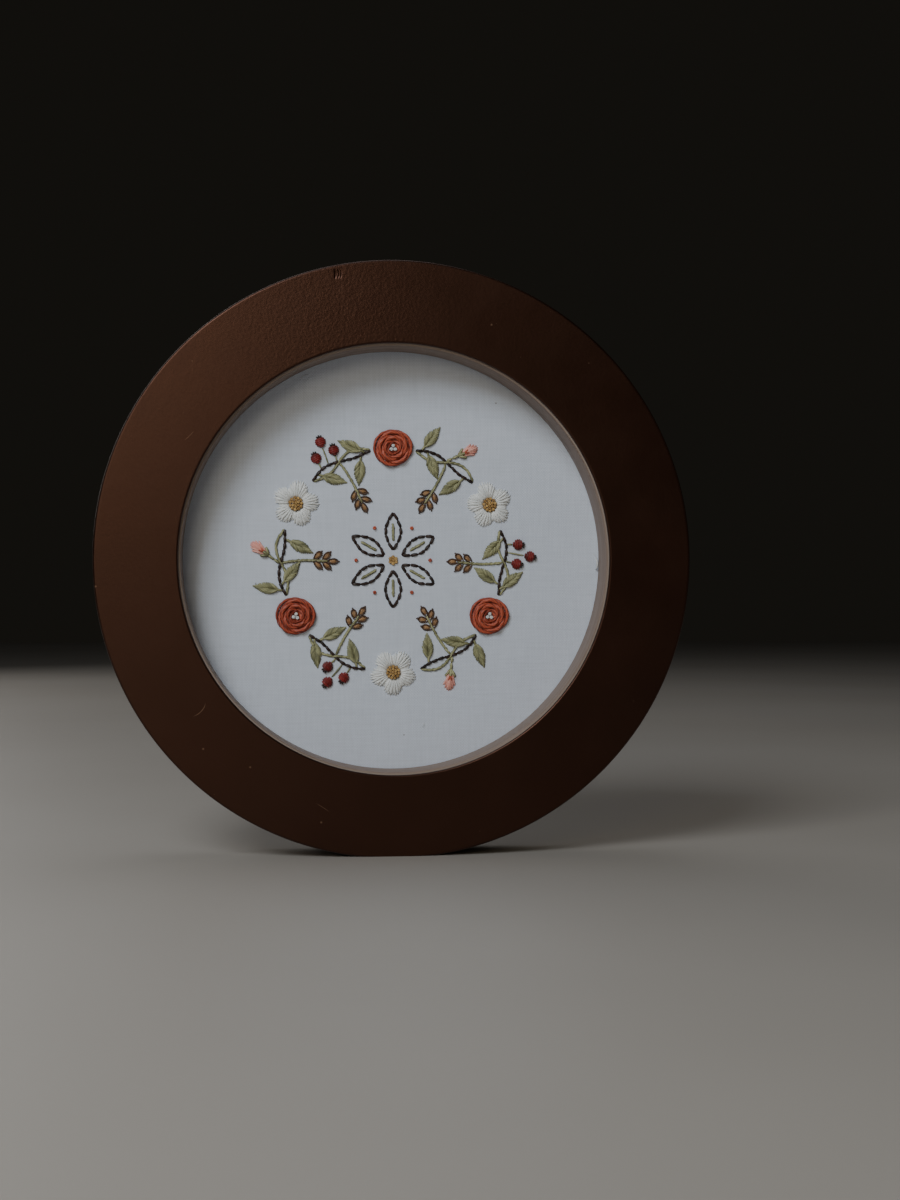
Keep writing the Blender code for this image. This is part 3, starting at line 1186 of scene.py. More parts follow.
    def arch(self, share: float, lift: float) -> float:
        """The height of a stitch that comes up out of the cloth and goes down into it again.

        Args:
            share: The share of its length.
            lift: How high its middle lies off the cloth.

        Returns:
            The height off the cloth.
        """
        rise = math.sin(math.pi * share) ** 0.55
        return -self.sink * (1 - rise) + lift * rise

    def straight(self, start: Flat, end: Flat, strand: Strand, lift: float = LIE, steps: int = 7,
                 ends: float = 0.4, bow: float = 0.0) -> None:
        """A single stitch that comes up at one point and goes down at another.

        Args:
            start: Where it comes up.
            end: Where it goes down.
            strand: The size of the thread.
            lift: How high its middle lies off the cloth.
            steps: How many parts it bends in.
            ends: How wide it is at its ends, as a share of its width.
            bow: How far its middle is pulled sideways.
        """
        length = math.hypot(end[0] - start[0], end[1] - start[1])
        way = ((end[0] - start[0]) / length, (end[1] - start[1]) / length)
        path = []
        for k in range(steps + 1):
            share = k / steps
            side = bow * math.sin(math.pi * share)
            point = (
                start[0] + way[0] * length * share - way[1] * side,
                start[1] + way[1] * length * share + way[0] * side,
            )
            path.append(self.place(point, self.arch(share, lift)))
        self.lay(path, strand, ends)

    def backstitch(self, route: Callable[[float], Flat], count: int, strand: Strand = LINE,
                   overlap: float = 0.0, shake: float = 0.08 * MM) -> None:
        """A line of single stitches, end to end.

        Args:
            route: The line's point for a share from 0 to 1.
            count: How many stitches.
            strand: The size of the thread.
            overlap: The share of a stitch by which each passes its neighbours.
            shake: How far the middle of a stitch may lie to one side.
        """
        for k in range(count):
            start, end = route((k - overlap) / count), route((k + 1 + overlap) / count)
            self.straight(start, end, strand, LINE_LIE, steps=8, ends=0.60, bow=self.shake(shake))

    def stem_line(self, route: Callable[[float], Flat], count: int) -> None:
        """A rope-like line: each stitch starts beside the middle of the one before.

        Args:
            route: The line's point for a share from 0 to 1.
            count: How many stitches.
        """
        steps, near = 7, 0.01
        for k in range(count):
            path = []
            for i in range(steps + 1):
                share = i / steps
                along = (k + 2 * share) / (count + 1)
                before, after = route(along - near), route(along + near)
                turn = math.atan2(after[1] - before[1], after[0] - before[0])
                side = (share - 0.5) * 0.45 * VINE.width
                path.append(self.place(beside(route(along), turn, side), self.arch(share, LIE)))
            self.lay(path, VINE, 0.5)

    def knot(self, middle: Flat, radius: float, base: float = 0.0) -> None:
        """A knot of thread wound twice round the needle.

        Args:
            middle: Its place on the cloth.
            radius: The radius of the wound thread's middle line.
            base: The height of what it sits on.
        """
        start = self.random.uniform(0, TAU)
        tilt = self.shake(0.2)
        path = []
        for k in range(self.knot_steps + 1):
            share = k / self.knot_steps
            angle = start + TAU * self.knot_turns * share
            reach = radius * (1 - self.knot_tighten * share)
            height = base + KNOT.height * (0.35 + 0.75 * share) + tilt * reach * math.cos(angle)
            path.append(self.place(moved(middle, angle, reach), height))
        self.lay(path, KNOT, 0.6)

    def build(self, nodes: Iterable[str] = ()) -> bpy.types.Object:
        """Joins the stitches in one object, dresses it and ties it to the model.

        Args:
            nodes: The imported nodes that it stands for.

        Returns:
            The finished object.
        """
        mesh = bpy.data.meshes.new(self.name)
        mesh.from_pydata(np.concatenate(self.points).tolist(), [], self.faces)
        layer = mesh.uv_layers.new(name="thread")
        corners = np.empty(len(mesh.loops), np.int32)
        mesh.loops.foreach_get("vertex_index", corners)
        layer.uv.foreach_set("vector", np.concatenate(self.uvs)[corners].astype(np.float32).ravel())
        shade = mesh.attributes.new("shade", "FLOAT", "POINT")
        shade.data.foreach_set("value", np.concatenate(self.shades).astype(np.float32))
        mesh.shade_smooth()
        made = bpy.data.objects.new(self.name, mesh)
        bpy.context.scene.collection.objects.link(made)
        slot = SLOTS.get(self.thread, self.thread.value)
        settle(made, MATERIALS[self.thread], slot, nodes)
        return made


MATERIALS: dict[Thread, bpy.types.Material] = {}


class Growth(Enum):
    """What grows beside a twig."""

    LEAF = "leaf"
    BUD = "bud"
    BERRY = "berry"


@dataclass(frozen=True)
class Side:
    """A leaf, bud or berry beside a twig.

    It leaves the twig at a share of its length, to the left with side 1 or the right with side -1,
    turned from the twig by degrees, and its middle lies at its reach.
    """

    kind: Growth
    along: float
    side: int
    turn: float
    reach: float


@dataclass
class Wreath:
    """Where everything on the wreath lies: roses and blossoms in turn, and a twig between each two."""

    radius: float = 41.0 * MM
    heads: int = 6
    rose_radius: float = 7.6 * MM
    blossom_radius: float = 9.4 * MM
    clearance: float = 0.8 * MM
    wave: float = 1.1 * MM
    leaf_length: float = 9.6 * MM
    leaf_width: float = 4.4 * MM
    bud_length: float = 8.0 * MM
    bud_width: float = 5.4 * MM
    berry_radius: float = 2.0 * MM
    rose_to_blossom: tuple[Side, ...] = (
        Side(Growth.LEAF, 0.08, 1, 52, 6.6 * MM),
        Side(Growth.LEAF, 0.16, -1, 60, 6.6 * MM),
        Side(Growth.BUD, 0.48, 1, 68, 9.4 * MM),
        Side(Growth.LEAF, 0.86, -1, 116, 6.8 * MM),
    )
    blossom_to_rose: tuple[Side, ...] = (
        Side(Growth.LEAF, 0.92, 1, 128, 6.6 * MM),
        Side(Growth.LEAF, 0.84, -1, 120, 6.6 * MM),
        Side(Growth.BERRY, 0.22, 1, 76, 4.6 * MM),
        Side(Growth.BERRY, 0.34, 1, 84, 8.9 * MM),
        Side(Growth.BERRY, 0.47, 1, 92, 4.6 * MM),
        Side(Growth.LEAF, 0.12, -1, 68, 6.8 * MM),
    )

    def roses(self) -> range:
        """The numbers of the roses among the heads."""
        return range(0, self.heads, 2)

    def blossoms(self) -> range:
        """The numbers of the blossoms among the heads."""
        return range(1, self.heads, 2)

    def head_angle(self, index: int) -> float:
        """The angle of a rose or blossom, the first at the top and the rest clockwise."""
        return math.pi / 2 - TAU * index / self.heads

    def head_middle(self, index: int) -> Flat:
        """The middle of a rose or blossom."""
        return polar(self.radius, self.head_angle(index))

    def head_radius(self, index: int) -> float:
        """The size of a rose, with an even number, or of a blossom."""
        return self.rose_radius if index % 2 == 0 else self.blossom_radius

    def twig_point(self, index: int, along: float, wave: float | None = None) -> Flat:
        """A point of the twig that follows a head.

        Args:
            index: The head's number.
            along: The share of the way to the next head.
            wave: How far it swings across the circle, or None for the twig's own.

        Returns:
            The point.
        """
        start = self.head_angle(index) - (self.head_radius(index) + self.clearance) / self.radius
        end = self.head_angle(index + 1) + (self.head_radius(index + 1) + self.clearance) / self.radius
        angle = start + (end - start) * along
        swing = self.wave if wave is None else wave
        return polar(self.radius + swing * math.sin(TAU * along), angle)

    def twig_heading(self, index: int, along: float) -> float:
        """The direction of the twig at a point.

        Args:
            index: The head's number.
            along: The share of the way to the next head.

        Returns:
            The direction, anticlockwise from the right.
        """
        before = self.twig_point(index, along - 0.01)
        after = self.twig_point(index, along + 0.01)
        return math.atan2(after[1] - before[1], after[0] - before[0])

    def sides(self, kind: Growth) -> list[tuple[Flat, Flat, float]]:
        """The places of all leaves, buds or berries.

        Args:
            kind: Which of them.

        Returns:
            For each, where its stalk leaves the twig, its middle, and its direction.
        """
        found = []
        for index in range(self.heads):
            for piece in (self.rose_to_blossom, self.blossom_to_rose)[index % 2]:
                if piece.kind is not kind:
                    continue
                root = self.twig_point(index, piece.along)
                turn = self.twig_heading(index, piece.along) + piece.side * math.radians(piece.turn)
                found.append((root, moved(root, turn, piece.reach), turn))
        return found


@dataclass
class TwigWork:
    """The twigs in dark backstitch, with a thin sage vine winding over them the other way."""

    wreath: Wreath
    stitches: int = 10
    vine_stitches: int = 13
    vine_swing: float = -1.8

    def make(self) -> None:
        """Sews all twigs and vines."""
        twigs = Skein("twig_backstitch", Thread.BROWN, seed=11)
        vines = Skein("vine_stitches", Thread.SAGE, seed=12)
        for index in range(self.wreath.heads):
            route = partial(self.wreath.twig_point, index)
            twigs.backstitch(route, self.stitches)
            vines.stem_line(partial(route, wave=self.vine_swing * self.wreath.wave), self.vine_stitches)
        twigs.build(numbered("twig", self.wreath.heads))
        vines.build()


@dataclass
class LeafWork:
    """Sage leaves in fishbone stitch, each on a short stalk.

    Places along a leaf are shares of its length, from 0 at the stalk to 1 at the tip.
    """

    wreath: Wreath
    pairs: int = 12
    first: float = 0.97
    span: float = 0.83
    slant: float = 0.34
    spine: float = 0.66
    spine_lie: float = 0.42 * MM
    crossing: float = 0.16 * MM
    shake: float = 0.018
    ragged: tuple[float, float] = (0.93, 1.04)
    lie: float = 0.38 * MM
    crown: float = 0.26 * MM
    stalk_end: float = 0.36

    def half_width(self, share: float) -> float:
        """Half the leaf's width at a share of its length from the stalk."""
        return math.sin(math.pi * min(1.0, max(0.0, share)) ** 0.85) * self.wreath.leaf_width / 2

    def leaf(self, skein: Skein, middle: Flat, turn: float) -> None:
        """Sews one leaf.

        Args:
            skein: The thread.
            middle: The leaf's middle.
            turn: The direction of its tip.
        """

        def spot(share: float, side: float) -> Flat:
            """A point of the leaf from its share of the length and its distance to one side."""
            return beside(moved(middle, turn, self.wreath.leaf_length * (share - 0.5)), turn, side)

        skein.straight(spot(1.0, 0.0), spot(self.spine, 0.0), LEAF, self.spine_lie, ends=0.3)
        for k in range(self.pairs):
            share = self.first - self.span * k / (self.pairs - 1)
            lie = self.lie + self.crown * math.sin(math.pi * share)
            for side in (1, -1):
                place = share + skein.shake(self.shake)
                edge = spot(place, side * self.half_width(share) * skein.random.uniform(*self.ragged))
                inner = spot(max(share - self.slant, 0.0), -side * self.crossing)
                skein.straight(edge, inner, LEAF, lie, steps=6, ends=0.45)

    def make(self) -> None:
        """Sews all leaves and stalks."""
        leaves = Skein("leaf_fishbone", Thread.SAGE, seed=21)
        stalks = Skein("leaf_stalks", Thread.SAGE, seed=22)
        places = self.wreath.sides(Growth.LEAF)
        for root, middle, turn in places:
            self.leaf(leaves, middle, turn)
            top = moved(middle, turn, -self.wreath.leaf_length * self.stalk_end)
            stalks.straight(moved(root, turn, 0.1 * MM), top, VINE)
        leaves.build(numbered("leaf", len(places)))
        stalks.build()


@dataclass
class RoseWork:
    """Coral roses: thread woven round and round over five spokes, with pale knots in the eye.

    The weaving lies on a bed of rays, rises to a low dome, and sways and swells over each spoke.
    """

    wreath: Wreath
    pitch: float = 0.98 * MM
    eye: float = 1.7 * MM
    spokes: int = 5
    steps: int = 40
    dome: float = 1.05 * MM
    dome_reach: float = 1.12
    weave: float = 0.40 * MM
    sway: float = 0.20 * MM
    swell: float = 0.14
    bed_rays: int = 7
    bed_start: float = 0.7 * MM
    bed_margin: float = 1.1 * MM
    knots: int = 3
    knot_ring: float = 0.85 * MM
    knot_radius: float = 0.42 * MM
    knot_base: float = 1.0 * MM

    def rose(self, skein: Skein, middle: Flat, start: float) -> None:
        """Weaves one rose from the eye outwards.

        Args:
            skein: The thread.
            middle: The rose's middle.
            start: The angle at which the weaving starts.
        """
        reach = self.wreath.rose_radius - WOVEN.width / 2
        total = int((reach - self.eye) / self.pitch * self.steps)
        path, swell = [], []
        for k in range(total + 1):
            angle = start + TAU * k / self.steps
            over = math.cos(self.spokes / 2 * (angle - start))
            radius = self.eye + (reach - self.eye) * k / total + self.sway * over
            body = self.dome * (1 - (radius / (self.dome_reach * self.wreath.rose_radius)) ** 2)
            path.append(skein.place(moved(middle, angle, radius), LIE + body + self.weave * over))
            swell.append(1 + self.swell * over)
        skein.lay(path, WOVEN, 0.5, swell)

    def bed(self, skein: Skein, middle: Flat, start: float) -> None:
        """Lays the spokes and a packed bed of stitches under the weaving.

        Args:
            skein: The thread.
            middle: The rose's middle.
            start: The angle of the first spoke.
        """
        reach = self.wreath.rose_radius - self.bed_margin
        rays = self.spokes * self.bed_rays
        for k in range(rays):
            angle = start + TAU * k / rays
            skein.straight(moved(middle, angle, self.bed_start), moved(middle, angle, reach), WOVEN, ends=0.5)

    def make(self) -> None:
        """Sews all roses and their eyes."""
        roses = Skein("rose_weaving", Thread.CORAL, seed=31)
        eyes = Skein("rose_knots", Thread.WHITE, seed=32)
        for index in self.wreath.roses():
            middle = self.wreath.head_middle(index)
            start = self.wreath.head_angle(index) + index
            self.bed(roses, middle, start)
            self.rose(roses, middle, start)
            for k in range(self.knots):
                place = moved(middle, start + TAU * k / self.knots, self.knot_ring)
                eyes.knot(place, self.knot_radius, self.knot_base)
        roses.build(numbered("rose", len(self.wreath.roses())))
        eyes.build()


@dataclass
class BlossomWork:
    """White blossoms: rounded petals in two layers of satin stitches, with a cluster of gold knots.

    The upper layer has fewer rays and keeps closer to the middle. Each ring of knots has its
    radius, its number of knots, and its turn as a share of the way from one knot to the next.
    """

    wreath: Wreath
    petals: int = 5
    rays: tuple[int, int] = (11, 6)
    eye: float = 2.0 * MM
    notch: float = 0.38
    shake: float = 0.012
    knot_radius: float = 0.38 * MM
    middle_knot: tuple[float, float] = (0.40 * MM, 1.05 * MM)
    knot_rings: tuple[tuple[float, int, float], ...] = ((1.12 * MM, 6, 0.0), (2.12 * MM, 11, 0.5))

    def edge(self, angle: float) -> float:
        """The petal's reach at an angle from the middle of the petal."""
        full = abs(math.cos(self.petals * angle / 2)) ** 0.5
        return self.wreath.blossom_radius * (1 - self.notch + self.notch * full)

    def blossom(self, skein: Skein, middle: Flat, start: float) -> None:
        """Sews one blossom.

        Args:
            skein: The thread.
            middle: The blossom's middle.
            start: The direction of its first petal.
        """
        span = TAU / self.petals
        for petal in range(self.petals):
            axis = start + span * petal
            for layer, rays in enumerate(self.rays):
                for k in range(rays):
                    share = k / (rays - 1) - 0.5
                    angle = share * span * (0.93 - 0.20 * layer) + skein.shake(self.shake)
                    reach = self.edge(angle) - (0.30 + 0.6 * layer) * MM
                    reach -= skein.random.uniform(0, 0.5) * MM
                    foot = moved(middle, axis + angle * 0.80, self.eye)
                    lie = (0.40 + 0.34 * layer + 0.30 * math.cos(share * math.pi)) * MM
                    skein.straight(foot, moved(middle, axis + angle, reach), SATIN, lie, ends=0.42)

    def cluster(self, skein: Skein, middle: Flat, start: float) -> None:
        """Sews one blossom's knots, lower towards the outside.

        Args:
            skein: The thread.
            middle: The blossom's middle.
            start: The direction of its first petal.
        """
        skein.knot(middle, *self.middle_knot)
        for ring, count, turn in self.knot_rings:
            for k in range(count):
                place = moved(middle, start + TAU * (k + turn) / count, ring)
                skein.knot(place, self.knot_radius, self.knot_height(ring) + skein.shake(0.15 * MM))

    @staticmethod
    def knot_height(ring: float) -> float:
        """How high a knot sits at a distance from the blossom's middle."""
        return 1.15 * MM - 0.22 * ring

    def make(self) -> None:
        """Sews all blossoms and their knots."""
        petals = Skein("blossom_petals", Thread.WHITE, seed=41)
        knots = Skein("blossom_knots", Thread.GOLD, seed=42)
        for index in self.wreath.blossoms():
            middle, start = self.wreath.head_middle(index), self.wreath.head_angle(index)
            self.blossom(petals, middle, start)
            self.cluster(knots, middle, start)
        count = len(self.wreath.blossoms())
        petals.build(numbered("blossom", count))
        knots.build(numbered("blossom_centre", count))


@dataclass
class BudWork:
    """Salmon buds of long stitches round a darker heart, held by three sage ones, each on a stem."""

    wreath: Wreath
    half_count: int = 3
    spread: float = 0.42
    foot_spread: float = 0.9 * MM
    bow: float = -0.55 * MM
    heart_lean: float = 0.70 * MM
    heart_start: float = 1.6 * MM
    heart_lie: float = 1.25 * MM
    cup_spread: float = 1.9 * MM

    def bud(self, skein: Skein, hearts: Skein, middle: Flat, turn: float) -> None:
        """Sews one bud and its heart.

        Args:
            skein: The thread of the petals.
            hearts: The thread of the heart.
            middle: The bud's middle.
            turn: The direction of its tip.
        """
        half = self.wreath.bud_length / 2
        foot = moved(middle, turn, -half)
        for k in range(-self.half_count, self.half_count + 1):
            lean = k / self.half_count
            top = moved(middle, turn, half * (0.96 - 0.50 * lean * lean))
            top = beside(top, turn, lean * self.wreath.bud_width * self.spread)
            lie = (0.95 - 0.45 * abs(lean)) * MM
            base = beside(foot, turn, lean * self.foot_spread)
            skein.straight(base, top, SATIN, lie, ends=0.5, bow=self.bow * lean)
        for lean in (-self.heart_lean, self.heart_lean):
            top = beside(moved(middle, turn, 0.1 * half), turn, lean)
            hearts.straight(moved(foot, turn, self.heart_start), top, FINE, self.heart_lie)

    def stem(self, skein: Skein, root: Flat, foot: Flat, turn: float) -> None:
        """Sews the three stitches that hold a bud, and its stem.

        Args:
            skein: The thread.
            root: Where the stem leaves the twig.
            foot: The bud's lower end.
            turn: The direction of its tip.
        """
        for lean in (-1, 0, 1):
            tip = moved(foot, turn, 3.0 * MM - 0.6 * MM * abs(lean))
            tip = beside(tip, turn, lean * self.cup_spread)
            skein.straight(moved(foot, turn, -0.3 * MM), tip, STEM, (1.05 - 0.25 * abs(lean)) * MM)
        half_way = moved(root, turn, math.hypot(foot[0] - root[0], foot[1] - root[1]) / 2)
        skein.straight(moved(root, turn, 0.5 * MM), half_way, STEM)
        skein.straight(half_way, moved(foot, turn, 0.3 * MM), STEM)

    def make(self) -> None:
        """Sews all buds and stems."""
        buds = Skein("bud_stitches", Thread.PINK, seed=51)
        hearts = Skein("bud_hearts", Thread.CORAL, seed=53)
        stems = Skein("bud_stems", Thread.SAGE, seed=52)
        places = self.wreath.sides(Growth.BUD)
        for root, middle, turn in places:
            self.bud(buds, hearts, middle, turn)
            self.stem(stems, root, moved(middle, turn, -self.wreath.bud_length / 2), turn)
        buds.build(numbered("bud", len(places)))
        hearts.build()
        stems.build()


@dataclass
class BerryWork:
    """Dark red berries in padded satin stitch, each with a small brown star and a fine stalk."""

    wreath: Wreath
    rows: int = 6
    padding: float = 0.62
    star_place: float = 0.55
    star_reach: float = 1.5 * MM
    star_lie: float = 0.95 * MM
    star_leans: tuple[float, ...] = (-0.7, 0.0, 0.7)
    stalk_lie: float = 0.34 * MM

    def berry(self, skein: Skein, middle: Flat, turn: float) -> None:
        """Sews one berry.

        Args:
            skein: The thread.
            middle: The berry's middle.
            turn: The direction of its stitches.
        """
        radius = self.wreath.berry_radius
        for k in range(self.rows):
            side = (k / (self.rows - 1) - 0.5) * 2
            half = radius * math.sqrt(max(0.0, 1 - (0.93 * side) ** 2)) + 0.1 * MM
            axis = beside(middle, turn, side * (radius - 0.36 * MM))
            lie = (0.50 + self.padding * math.sqrt(max(0.0, 1 - (0.9 * side) ** 2))) * MM
            start, end = moved(axis, turn, -half), moved(axis, turn, half)
            skein.straight(start, end, SATIN, lie, steps=8, ends=0.5)

    def make(self) -> None:
        """Sews all berries, stars and stalks."""
        berries = Skein("berry_satin", Thread.RED, seed=61)
        stars = Skein("berry_stars", Thread.BROWN, seed=63)
        stalks = Skein("berry_stalks", Thread.SAGE, seed=62)
        radius = self.wreath.berry_radius
        places = self.wreath.sides(Growth.BERRY)
        for root, middle, turn in places:
            self.berry(berries, middle, turn + math.pi / 2)
            stalks.straight(root, moved(middle, turn, -radius), FINE, self.stalk_lie, steps=10, ends=0.7)
            star = moved(middle, turn, radius * self.star_place)
            for lean in self.star_leans:
                tip = moved(star, turn + lean, self.star_reach)
                stars.straight(star, tip, FINE, self.star_lie, ends=0.35)
        berries.build(numbered("berry", len(places)))
        stars.build()
        stalks.build()


@dataclass
class SeedWork:
    """Brown seeds in chained loops, five on a short sprig that points inwards from each twig."""

    wreath: Wreath
    loop_length: float = 3.7 * MM
    loop_width: float = 2.3 * MM
    loop_steps: int = 16
    fill_leans: tuple[tuple[float, float], ...] = ((-0.17, 0.5 * MM), (0.0, 0.1 * MM), (0.17, 0.5 * MM))
    stalk: float = 17.0 * MM
    stalk_start: float = 0.5 * MM
    stalk_bow: float = 0.6 * MM
    stalk_stitches: int = 9
    pairs: tuple[float, ...] = (11.6 * MM, 14.8 * MM)
    pair_lean: float = 0.80

    def loop(self, skein: Skein, fill: Skein, root: Flat, turn: float) -> None:
        """Sews one loop with its fill and the small stitch that holds it.

        Args:
            skein: The thread of the loop.
            fill: The thread inside it.
            root: Where the loop starts and ends.
            turn: The direction of its tip.
        """
        path = []
        for k in range(self.loop_steps + 1):
            share = k / self.loop_steps
            ahead = (1 - math.cos(TAU * share)) / 2
            side = self.loop_width / 2 * math.sin(TAU * share) * (0.55 + 0.45 * ahead)
            point = beside(moved(root, turn, self.loop_length * ahead), turn, side)
            path.append(skein.place(point, LIE * min(1.0, 6 * math.sin(math.pi * share))))
        skein.lay(path, FINE, 0.7)
        tip = moved(root, turn, self.loop_length)
        skein.straight(moved(tip, turn, -0.35 * MM), moved(tip, turn, 0.75 * MM), FINE, 0.5 * MM)
        for lean, short in self.fill_leans:
            end = moved(root, turn + lean, self.loop_length - short)
            fill.straight(moved(root, turn, 0.6 * MM), end, FINE, LINE_LIE, ends=0.8)

    def stalk_point(self, foot: Flat, turn: float, along: float) -> Flat:
        """A point of a stalk's line, which is a little bowed.

        Args:
            foot: Where the stalk leaves the twig.
            turn: Its direction.
            along: The share of its length.

        Returns:
            The point.
        """
        point = moved(foot, turn, self.stalk_start + self.stalk * along)
        return beside(point, turn, self.stalk_bow * math.sin(math.pi * along))

    def make(self) -> None:
        """Sews all sprigs."""
        seeds = Skein("seed_loops", Thread.SEED, seed=71)
        fills = Skein("seed_fills", Thread.TAN, seed=73)
        sprigs = Skein("seed_sprigs", Thread.SAGE, seed=72)
        for index in range(self.wreath.heads):
            root = self.wreath.twig_point(index, 0.5)
            turn = math.atan2(-root[1], -root[0])
            stalk = partial(self.stalk_point, root, turn)
            sprigs.stem_line(stalk, self.stalk_stitches)
            self.loop(seeds, fills, moved(root, turn, self.stalk), turn)
            for reach in self.pairs:
                for side in (-1, 1):
                    foot = beside(stalk(reach / self.stalk), turn, side * 0.3 * MM)
                    self.loop(seeds, fills, foot, turn + side * self.pair_lean)
        for skein in (seeds, fills, sprigs):
            skein.build()


@dataclass
class RosetteWork:
    """The rosette: pointed petals outlined in dark backstitch, each with a vein, round gold knots."""

    wreath: Wreath
    root: float = 3.7 * MM
    tip: float = 17.4 * MM
    width: float = 5.8 * MM
    stitches: int = 5
    shake: float = 0.05 * MM
    vein: tuple[float, float] = (0.24, 0.72)
    vein_stitches: int = 5
    valley: float = 13.6 * MM
    knot_ring: float = 1.20 * MM
    knot_radius: float = 0.44 * MM
    dot_radius: float = 0.46 * MM

    def edge(self, index: int, side: float, share: float) -> Flat:
        """A point of a petal's outline.

        Args:
            index: The petal's number, which is that of the head it points at.
            side: 1 for its left side, -1 for its right one, 0 for its middle.
            share: The share of the way from its root to its tip.

        Returns:
            The point.
        """
        turn = self.wreath.head_angle(index)
        axis = polar(self.root + (self.tip - self.root) * share, turn)
        return beside(axis, turn, side * math.sin(math.pi * share) * self.width / 2)

    def outline(self, skein: Skein, index: int, strand: Strand = LINE, overlap: float = 0.0) -> None:
        """Sews both sides of a petal.

        Args:
            skein: The thread.
            index: The petal's number.
            strand: The size of the thread.
            overlap: The share of a stitch by which each passes its neighbours.
        """
        for side in (-1, 1):
            skein.backstitch(partial(self.edge, index, side), self.stitches, strand, overlap, self.shake)

    def vein_point(self, index: int, along: float) -> Flat:
        """A point of a petal's vein, which is straight."""
        start, end = self.vein
        return self.edge(index, 0, start + (end - start) * along)

    def make(self) -> None:
        """Sews the petals, their veins and the knots."""
        lines = Skein("rosette_backstitch", Thread.BROWN, seed=101)
        veins = Skein("rosette_veins", Thread.SAGE, seed=102)
        middle = Skein("rosette_knots", Thread.GOLD, seed=103)
        dots = Skein("rosette_dots", Thread.CORAL, seed=104)
        for index in range(self.wreath.heads):
            self.outline(lines, index)
            veins.stem_line(partial(self.vein_point, index), self.vein_stitches)
            turn = self.wreath.head_angle(index)
            middle.knot(polar(self.knot_ring, turn), self.knot_radius)
            dots.knot(polar(self.valley, turn + math.pi / self.wreath.heads), self.dot_radius)
        middle.knot((0.0, 0.0), self.knot_radius, 0.15 * MM)
        lines.build(numbered("rosette", self.wreath.heads))
        for skein in (veins, middle, dots):
            skein.build()


@dataclass
class ReverseWork:
    """The back of the embroidery: flat passing threads, finished plainly."""

    wreath: Wreath
    passes: int = 6
    overlap: float = 0.15
    bow: float = 0.3 * MM
    lie: float = 0.25 * MM
    outline_overlap: float = 0.12
    patch_threads: int = 8
    patch_length: float = 3.6 * MM
    patch_half_width: float = 1.7 * MM
    patch_lie: float = 0.22 * MM
    ray_start: float = 1.2 * MM
    rose_rays: tuple[float, int] = (6.6 * MM, 15)
    blossom_rays: tuple[float, int] = (8.2 * MM, 35)

    def make(self) -> None:
        """Sews the passing threads of every colour."""
        brown = Skein("reverse_brown", Thread.BROWN, Face.BACK, seed=81)
        sage = Skein("reverse_sage", Thread.SAGE, Face.BACK, seed=82)
        coral = Skein("reverse_coral", Thread.CORAL, Face.BACK, seed=83)
        white = Skein("reverse_white", Thread.WHITE, Face.BACK, seed=84)
        rosette = RosetteWork(self.wreath)
        for index in range(self.wreath.heads):
            self.twig(brown, index)
            rosette.outline(brown, index, STEM, self.outline_overlap)
        for _, middle, _ in self.wreath.sides(Growth.LEAF):
            self.patch(sage, middle)
        for index in self.wreath.roses():
            self.rays(coral, self.wreath.head_middle(index), *self.rose_rays)
        for index in self.wreath.blossoms():
            self.rays(white, self.wreath.head_middle(index), *self.blossom_rays)
        for skein in (brown, sage, coral, white):
            skein.build()

    def twig(self, skein: Skein, index: int) -> None:
        """Long threads behind a twig that overlap and bow to either side in turn.

        Args:
            skein: The thread.
            index: The head that the twig follows.
        """
        for k in range(self.passes):
            start = self.wreath.twig_point(index, max(0.0, (k - self.overlap) / self.passes))
            end = self.wreath.twig_point(index, min(1.0, (k + 1 + self.overlap) / self.passes))
            skein.straight(start, end, STEM, self.lie, bow=self.bow * (-1) ** k)

    def patch(self, skein: Skein, middle: Flat) -> None:
        """A small patch of side-by-side threads.

        Args:
            skein: The thread.
            middle: Where it lies.
        """
        turn = math.atan2(middle[1], middle[0]) + skein.shake(0.5)
        for k in range(self.patch_threads):
            share = k / (self.patch_threads - 1) - 0.5
            axis = moved(middle, turn, self.patch_length * share * 2)
            lean = skein.shake(0.25)
            start = moved(axis, turn + math.pi / 2 + lean, self.patch_half_width)
            end = moved(axis, turn - math.pi / 2 + lean, self.patch_half_width)
            skein.straight(start, end, FINE, self.patch_lie)

    def rays(self, skein: Skein, middle: Flat, reach: float, count: int) -> None:
        """Threads that spread from a middle.

        Args:
            skein: The thread.
            middle: The middle.
            reach: How far the longest goes.
            count: How many there are.
        """
        for k in range(count):
            angle = TAU * k / count + skein.shake(0.06)
            far = moved(middle, angle, reach * skein.random.uniform(0.8, 1.0))
            skein.straight(moved(middle, angle, self.ray_start), far, FINE, self.lie)


